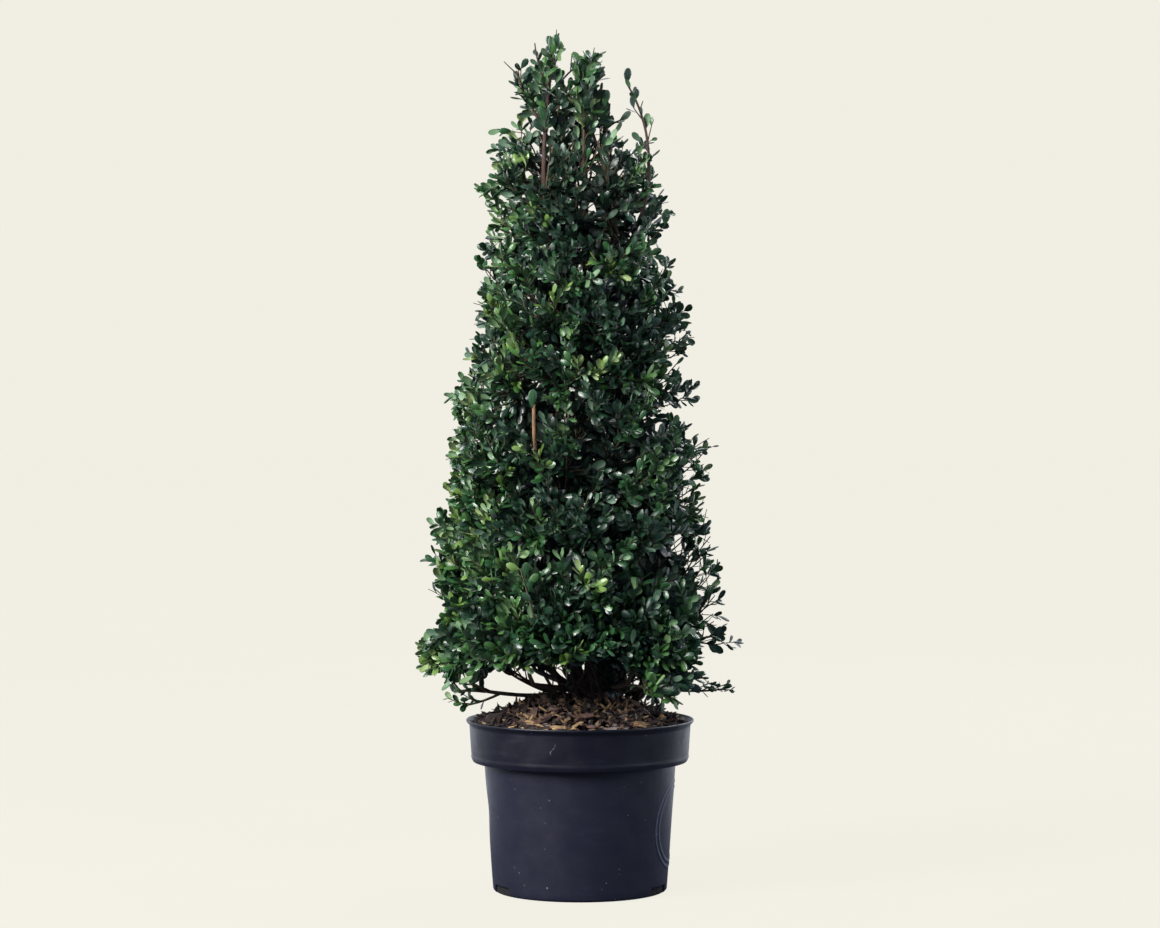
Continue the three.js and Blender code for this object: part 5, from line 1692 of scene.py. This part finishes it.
# Template of a leaf: root, rows of left edge, midrib and right edge, and tip. The midrib arches and the
# edges fall from it by roll times their half width.
def leafTemplate():
    rows, halves = np.array(leafBlade["rows"]), np.array(leafBlade["halfWidths"])
    side = np.array([-1.0, 0.0, 1.0])
    along = np.repeat(rows[:, None], 3, axis=1)
    across = halves[:, None] * side
    arch = leafBlade["arch"] * 4 * along * (1 - along) - leafBlade["tipDrop"] * along**3
    rise = arch - leafBlade["roll"] * np.abs(across)
    blade = np.stack([across, along, rise], axis=-1).reshape(-1, 3)
    points = np.concatenate([[[0, 0, 0]], blade, [[0, 1, -leafBlade["tipDrop"]]]])
    count = len(rows)
    left = 1 + 3 * np.arange(count - 1)
    tip = 3 * count + 1
    strips = [
        np.stack([left + first, left + first + second, left + first + third], axis=-1)
        for second, third in ((1, 4), (4, 3))
        for first in (0, 1)
    ]
    ends = np.array([[0, 3, 2], [0, 2, 1], [tip - 2, tip - 1, tip], [tip - 3, tip - 2, tip]])
    uv = np.stack([0.5 + points[:, 0] / (2 * halves.max()), points[:, 1]], axis=-1)
    return points, np.concatenate([*strips, ends]), uv


# Leaves of one tint in one region as one mesh: root + size (x · side + y · heading + z · curl · facing)
def makeLeaves(region, tintName, nodes):
    template, faces, uv = leafTemplate()
    stores = [store for store in leafStore if store["region"] == region]
    pick = np.concatenate([store["tint"] for store in stores]) == tintOf[tintName]
    roots, heading, facing, size, curl = (
        np.concatenate([store[key] for store in stores])[pick]
        for key in ("roots", "heading", "facing", "size", "curl")
    )
    side = np.cross(heading, facing)
    shape = (
        template[:, 0, None] * side[:, None, :]
        + template[:, 1, None] * heading[:, None, :]
        + template[:, 2, None] * curl[:, None, None] * facing[:, None, :]
    )
    points = (roots[:, None, :] + size[:, None, None] * shape).reshape(-1, 3)
    allFaces = faces[None] + np.arange(len(roots))[:, None, None] * len(template)
    allUv = np.broadcast_to(uv[None], (len(roots), *uv.shape)).reshape(-1, 2)
    name = "leaves_" + region + "_" + tintName
    piece = makePiece(name, points, allFaces.reshape(-1, 3), leafTints[tintName], allUv)
    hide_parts(*nodes)


foliageNodes = sorted(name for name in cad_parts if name.startswith("foliage_"))
regionNodes = {
    "skirt": [name for name in foliageNodes if "skirt" in name or "sprig" in name],
    "middle": [name for name in foliageNodes if "foliage_middle" in name],
    "upper": [name for name in foliageNodes if "upper" in name],
    "crest": [name for name in foliageNodes if "shoulder" in name or "foliage_top" in name],
}
for region, nodes in regionNodes.items():
    for tintName in leafTints:
        makeLeaves(region, tintName, nodes)
print("leaves:", sum(len(store["size"]) for store in leafStore))

twigPoints, twigFaces, twigUv = tubeBatch(
    np.concatenate([paths for paths, _ in twigStore]), np.concatenate([radii for _, radii in twigStore])
)
twigs = makePiece("twigs", twigPoints, twigFaces, twigBark, twigUv)
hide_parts(*foliageNodes)


# Stage: a pale floor that meets a plain pale surround, soft light from the upper left
surround = {
    "seen": paint(241, 238, 227),
    "frontLight": (0.1, 0.14, 0.245, 1.0),
    "backLight": (1.1, 1.17, 1.3, 1.0),
    "turns": (-0.4, 0.9),
}
floorPlan = {
    "columns": 96,
    "rings": [30.0, 10.0, 3.0, 1.0, 0.4],
    "grain": 3.0,
    "tones": [(46, 45, 44), (50, 49, 48)],
    "rough": (0.85, 0.95),
    "relief": (0.02, 0.001),
    "frontLight": (0.05, 0.065, 0.11, 1.0),
    "turns": (0.2, 1.2),
    "seenShares": (0.965, 0.984),
    "seenFrom": (1.0, 5.0),
}
lights = rowsOf(
    "name place size power colour",
    ("key", (-2.5, -2.05, 2.15), 2.2, 262, (1.0, 0.985, 0.95)),
    ("fill", (3.0, -1.2, 1.5), 2.2, 31, (0.9, 0.95, 1.0)),
    ("rim", (1.4, 2.4, 2.2), 1.8, 45, (0.96, 0.98, 1.0)),
)
lightTarget = (0.0, 0.0, 0.5)
sensorWidth = 36.0


# The surround is one tone where it is seen. Its light is cool and dim from the front, bright from behind.
def makeSurround():
    world = bpy.data.worlds.new("surround")
    bpy.context.scene.world = world
    world.use_nodes = True
    tree = world.node_tree
    tree.nodes.clear()
    seen = addNode(tree, "ShaderNodeBackground", {"Color": surround["seen"], "Strength": 1.0})
    toward = addNode(tree, "ShaderNodeTexCoord").outputs["Generated"]
    depth = addNode(tree, "ShaderNodeSeparateXYZ", {"Vector": toward}).outputs["Y"]
    behind = mapRange(tree, depth, *surround["turns"])
    light = mixColours(tree, behind, surround["frontLight"], surround["backLight"])
    soft = addNode(tree, "ShaderNodeBackground", {"Color": light, "Strength": 1.0})
    direct = tree.nodes.new("ShaderNodeLightPath").outputs["Is Camera Ray"]
    both = addNode(tree, "ShaderNodeMixShader", {0: direct, 1: soft.outputs[0], 2: seen.outputs[0]})
    addNode(tree, "ShaderNodeOutputWorld", {"Surface": both.outputs[0]})


# Seen directly the floor has nearly the surround's tone, by its distance from the pot. What it throws back is
# dim in front and bright behind.
def makeFloorMaterial():
    plan = floorPlan
    material, tree, shader, places = startMaterial("paleFloor")
    place = places["Object"]
    grain = useGroup(tree, grainGroup, {"Place": place, "Scale": plan["grain"]})
    tone = mixColours(tree, grain["Tone"], *(paint(*tone) for tone in plan["tones"]))
    rough = mapRange(tree, grain["Tone"], 0.0, 1.0, *plan["rough"])
    finishMaterial(tree, shader, tone, rough, grain["Relief"], *plan["relief"])
    shader.inputs["Specular IOR Level"].default_value = 0.0
    depth = addNode(tree, "ShaderNodeSeparateXYZ", {"Vector": place}).outputs["Y"]
    behind = mapRange(tree, depth, *plan["turns"])
    bounce = mixColours(tree, behind, plan["frontLight"], surround["backLight"])
    direct = tree.nodes.new("ShaderNodeLightPath").outputs["Is Camera Ray"]
    away = addNode(tree, "ShaderNodeVectorMath", {0: place}, operation="LENGTH").outputs["Value"]
    seenTones = [(*(share * np.array(surround["seen"][:3])), 1.0) for share in plan["seenShares"]]
    seen = mixColours(tree, mapRange(tree, away, *plan["seenFrom"]), *seenTones)
    tree.links.new(mixColours(tree, direct, bounce, seen), shader.inputs["Emission Color"])
    shader.inputs["Emission Strength"].default_value = 1.0
    return material


# The floor: a flat disc of rings of quads, closed by a fan in the middle
def makeFloor():
    columns, rings = floorPlan["columns"], np.array(floorPlan["rings"])
    grid = polar(onceRound(columns)[None, :], rings[:, None], 0.0)
    points = np.concatenate([grid.reshape(-1, 3), [[0, 0, 0]]])
    quads = gridFaces(len(rings), columns)
    around = np.arange(columns) + (len(rings) - 1) * columns
    fan = np.stack([around, np.roll(around, -1), np.full(columns, len(points) - 1)], axis=-1)
    mesh = bpy.data.meshes.new("studio_floor")
    mesh.from_pydata(points.tolist(), [], quads.tolist() + fan.tolist())
    floor = bpy.data.objects.new("studio_floor", mesh)
    bpy.context.scene.collection.objects.link(floor)
    mesh.materials.append(makeFloorMaterial())


# Round area lights, each turned to the middle of the plant
def makeLights():
    for plan in lights:
        data = bpy.data.lights.new(plan["name"], "AREA")
        data.shape = "DISK"
        data.size = plan["size"]
        data.energy = plan["power"]
        data.color = plan["colour"]
        lamp = bpy.data.objects.new(plan["name"], data)
        lamp.location = plan["place"]
        toPlant = Vector(lightTarget) - lamp.location
        lamp.rotation_euler = toPlant.to_track_quat("-Z", "Y").to_euler()
        lamp.visible_camera = False
        bpy.context.scene.collection.objects.link(lamp)


# The viewer in front of the plant, level but for its pitch
def makeCamera():
    data = bpy.data.cameras.new("view")
    data.lens = camera["lens"]
    data.sensor_width = sensorWidth
    data.sensor_fit = "HORIZONTAL"
    data.clip_end = 100.0
    viewer = bpy.data.objects.new("view", data)
    viewer.location = camera["place"]
    viewer.rotation_euler = (math.radians(90 + camera["pitch"]), 0.0, 0.0)
    bpy.context.scene.collection.objects.link(viewer)
    bpy.context.scene.camera = viewer
    bpy.context.scene.view_settings.view_transform = "Standard"
    bpy.context.scene.view_settings.look = "None"


makeSurround()
makeFloor()
makeLights()
makeCamera()
print("stage set")
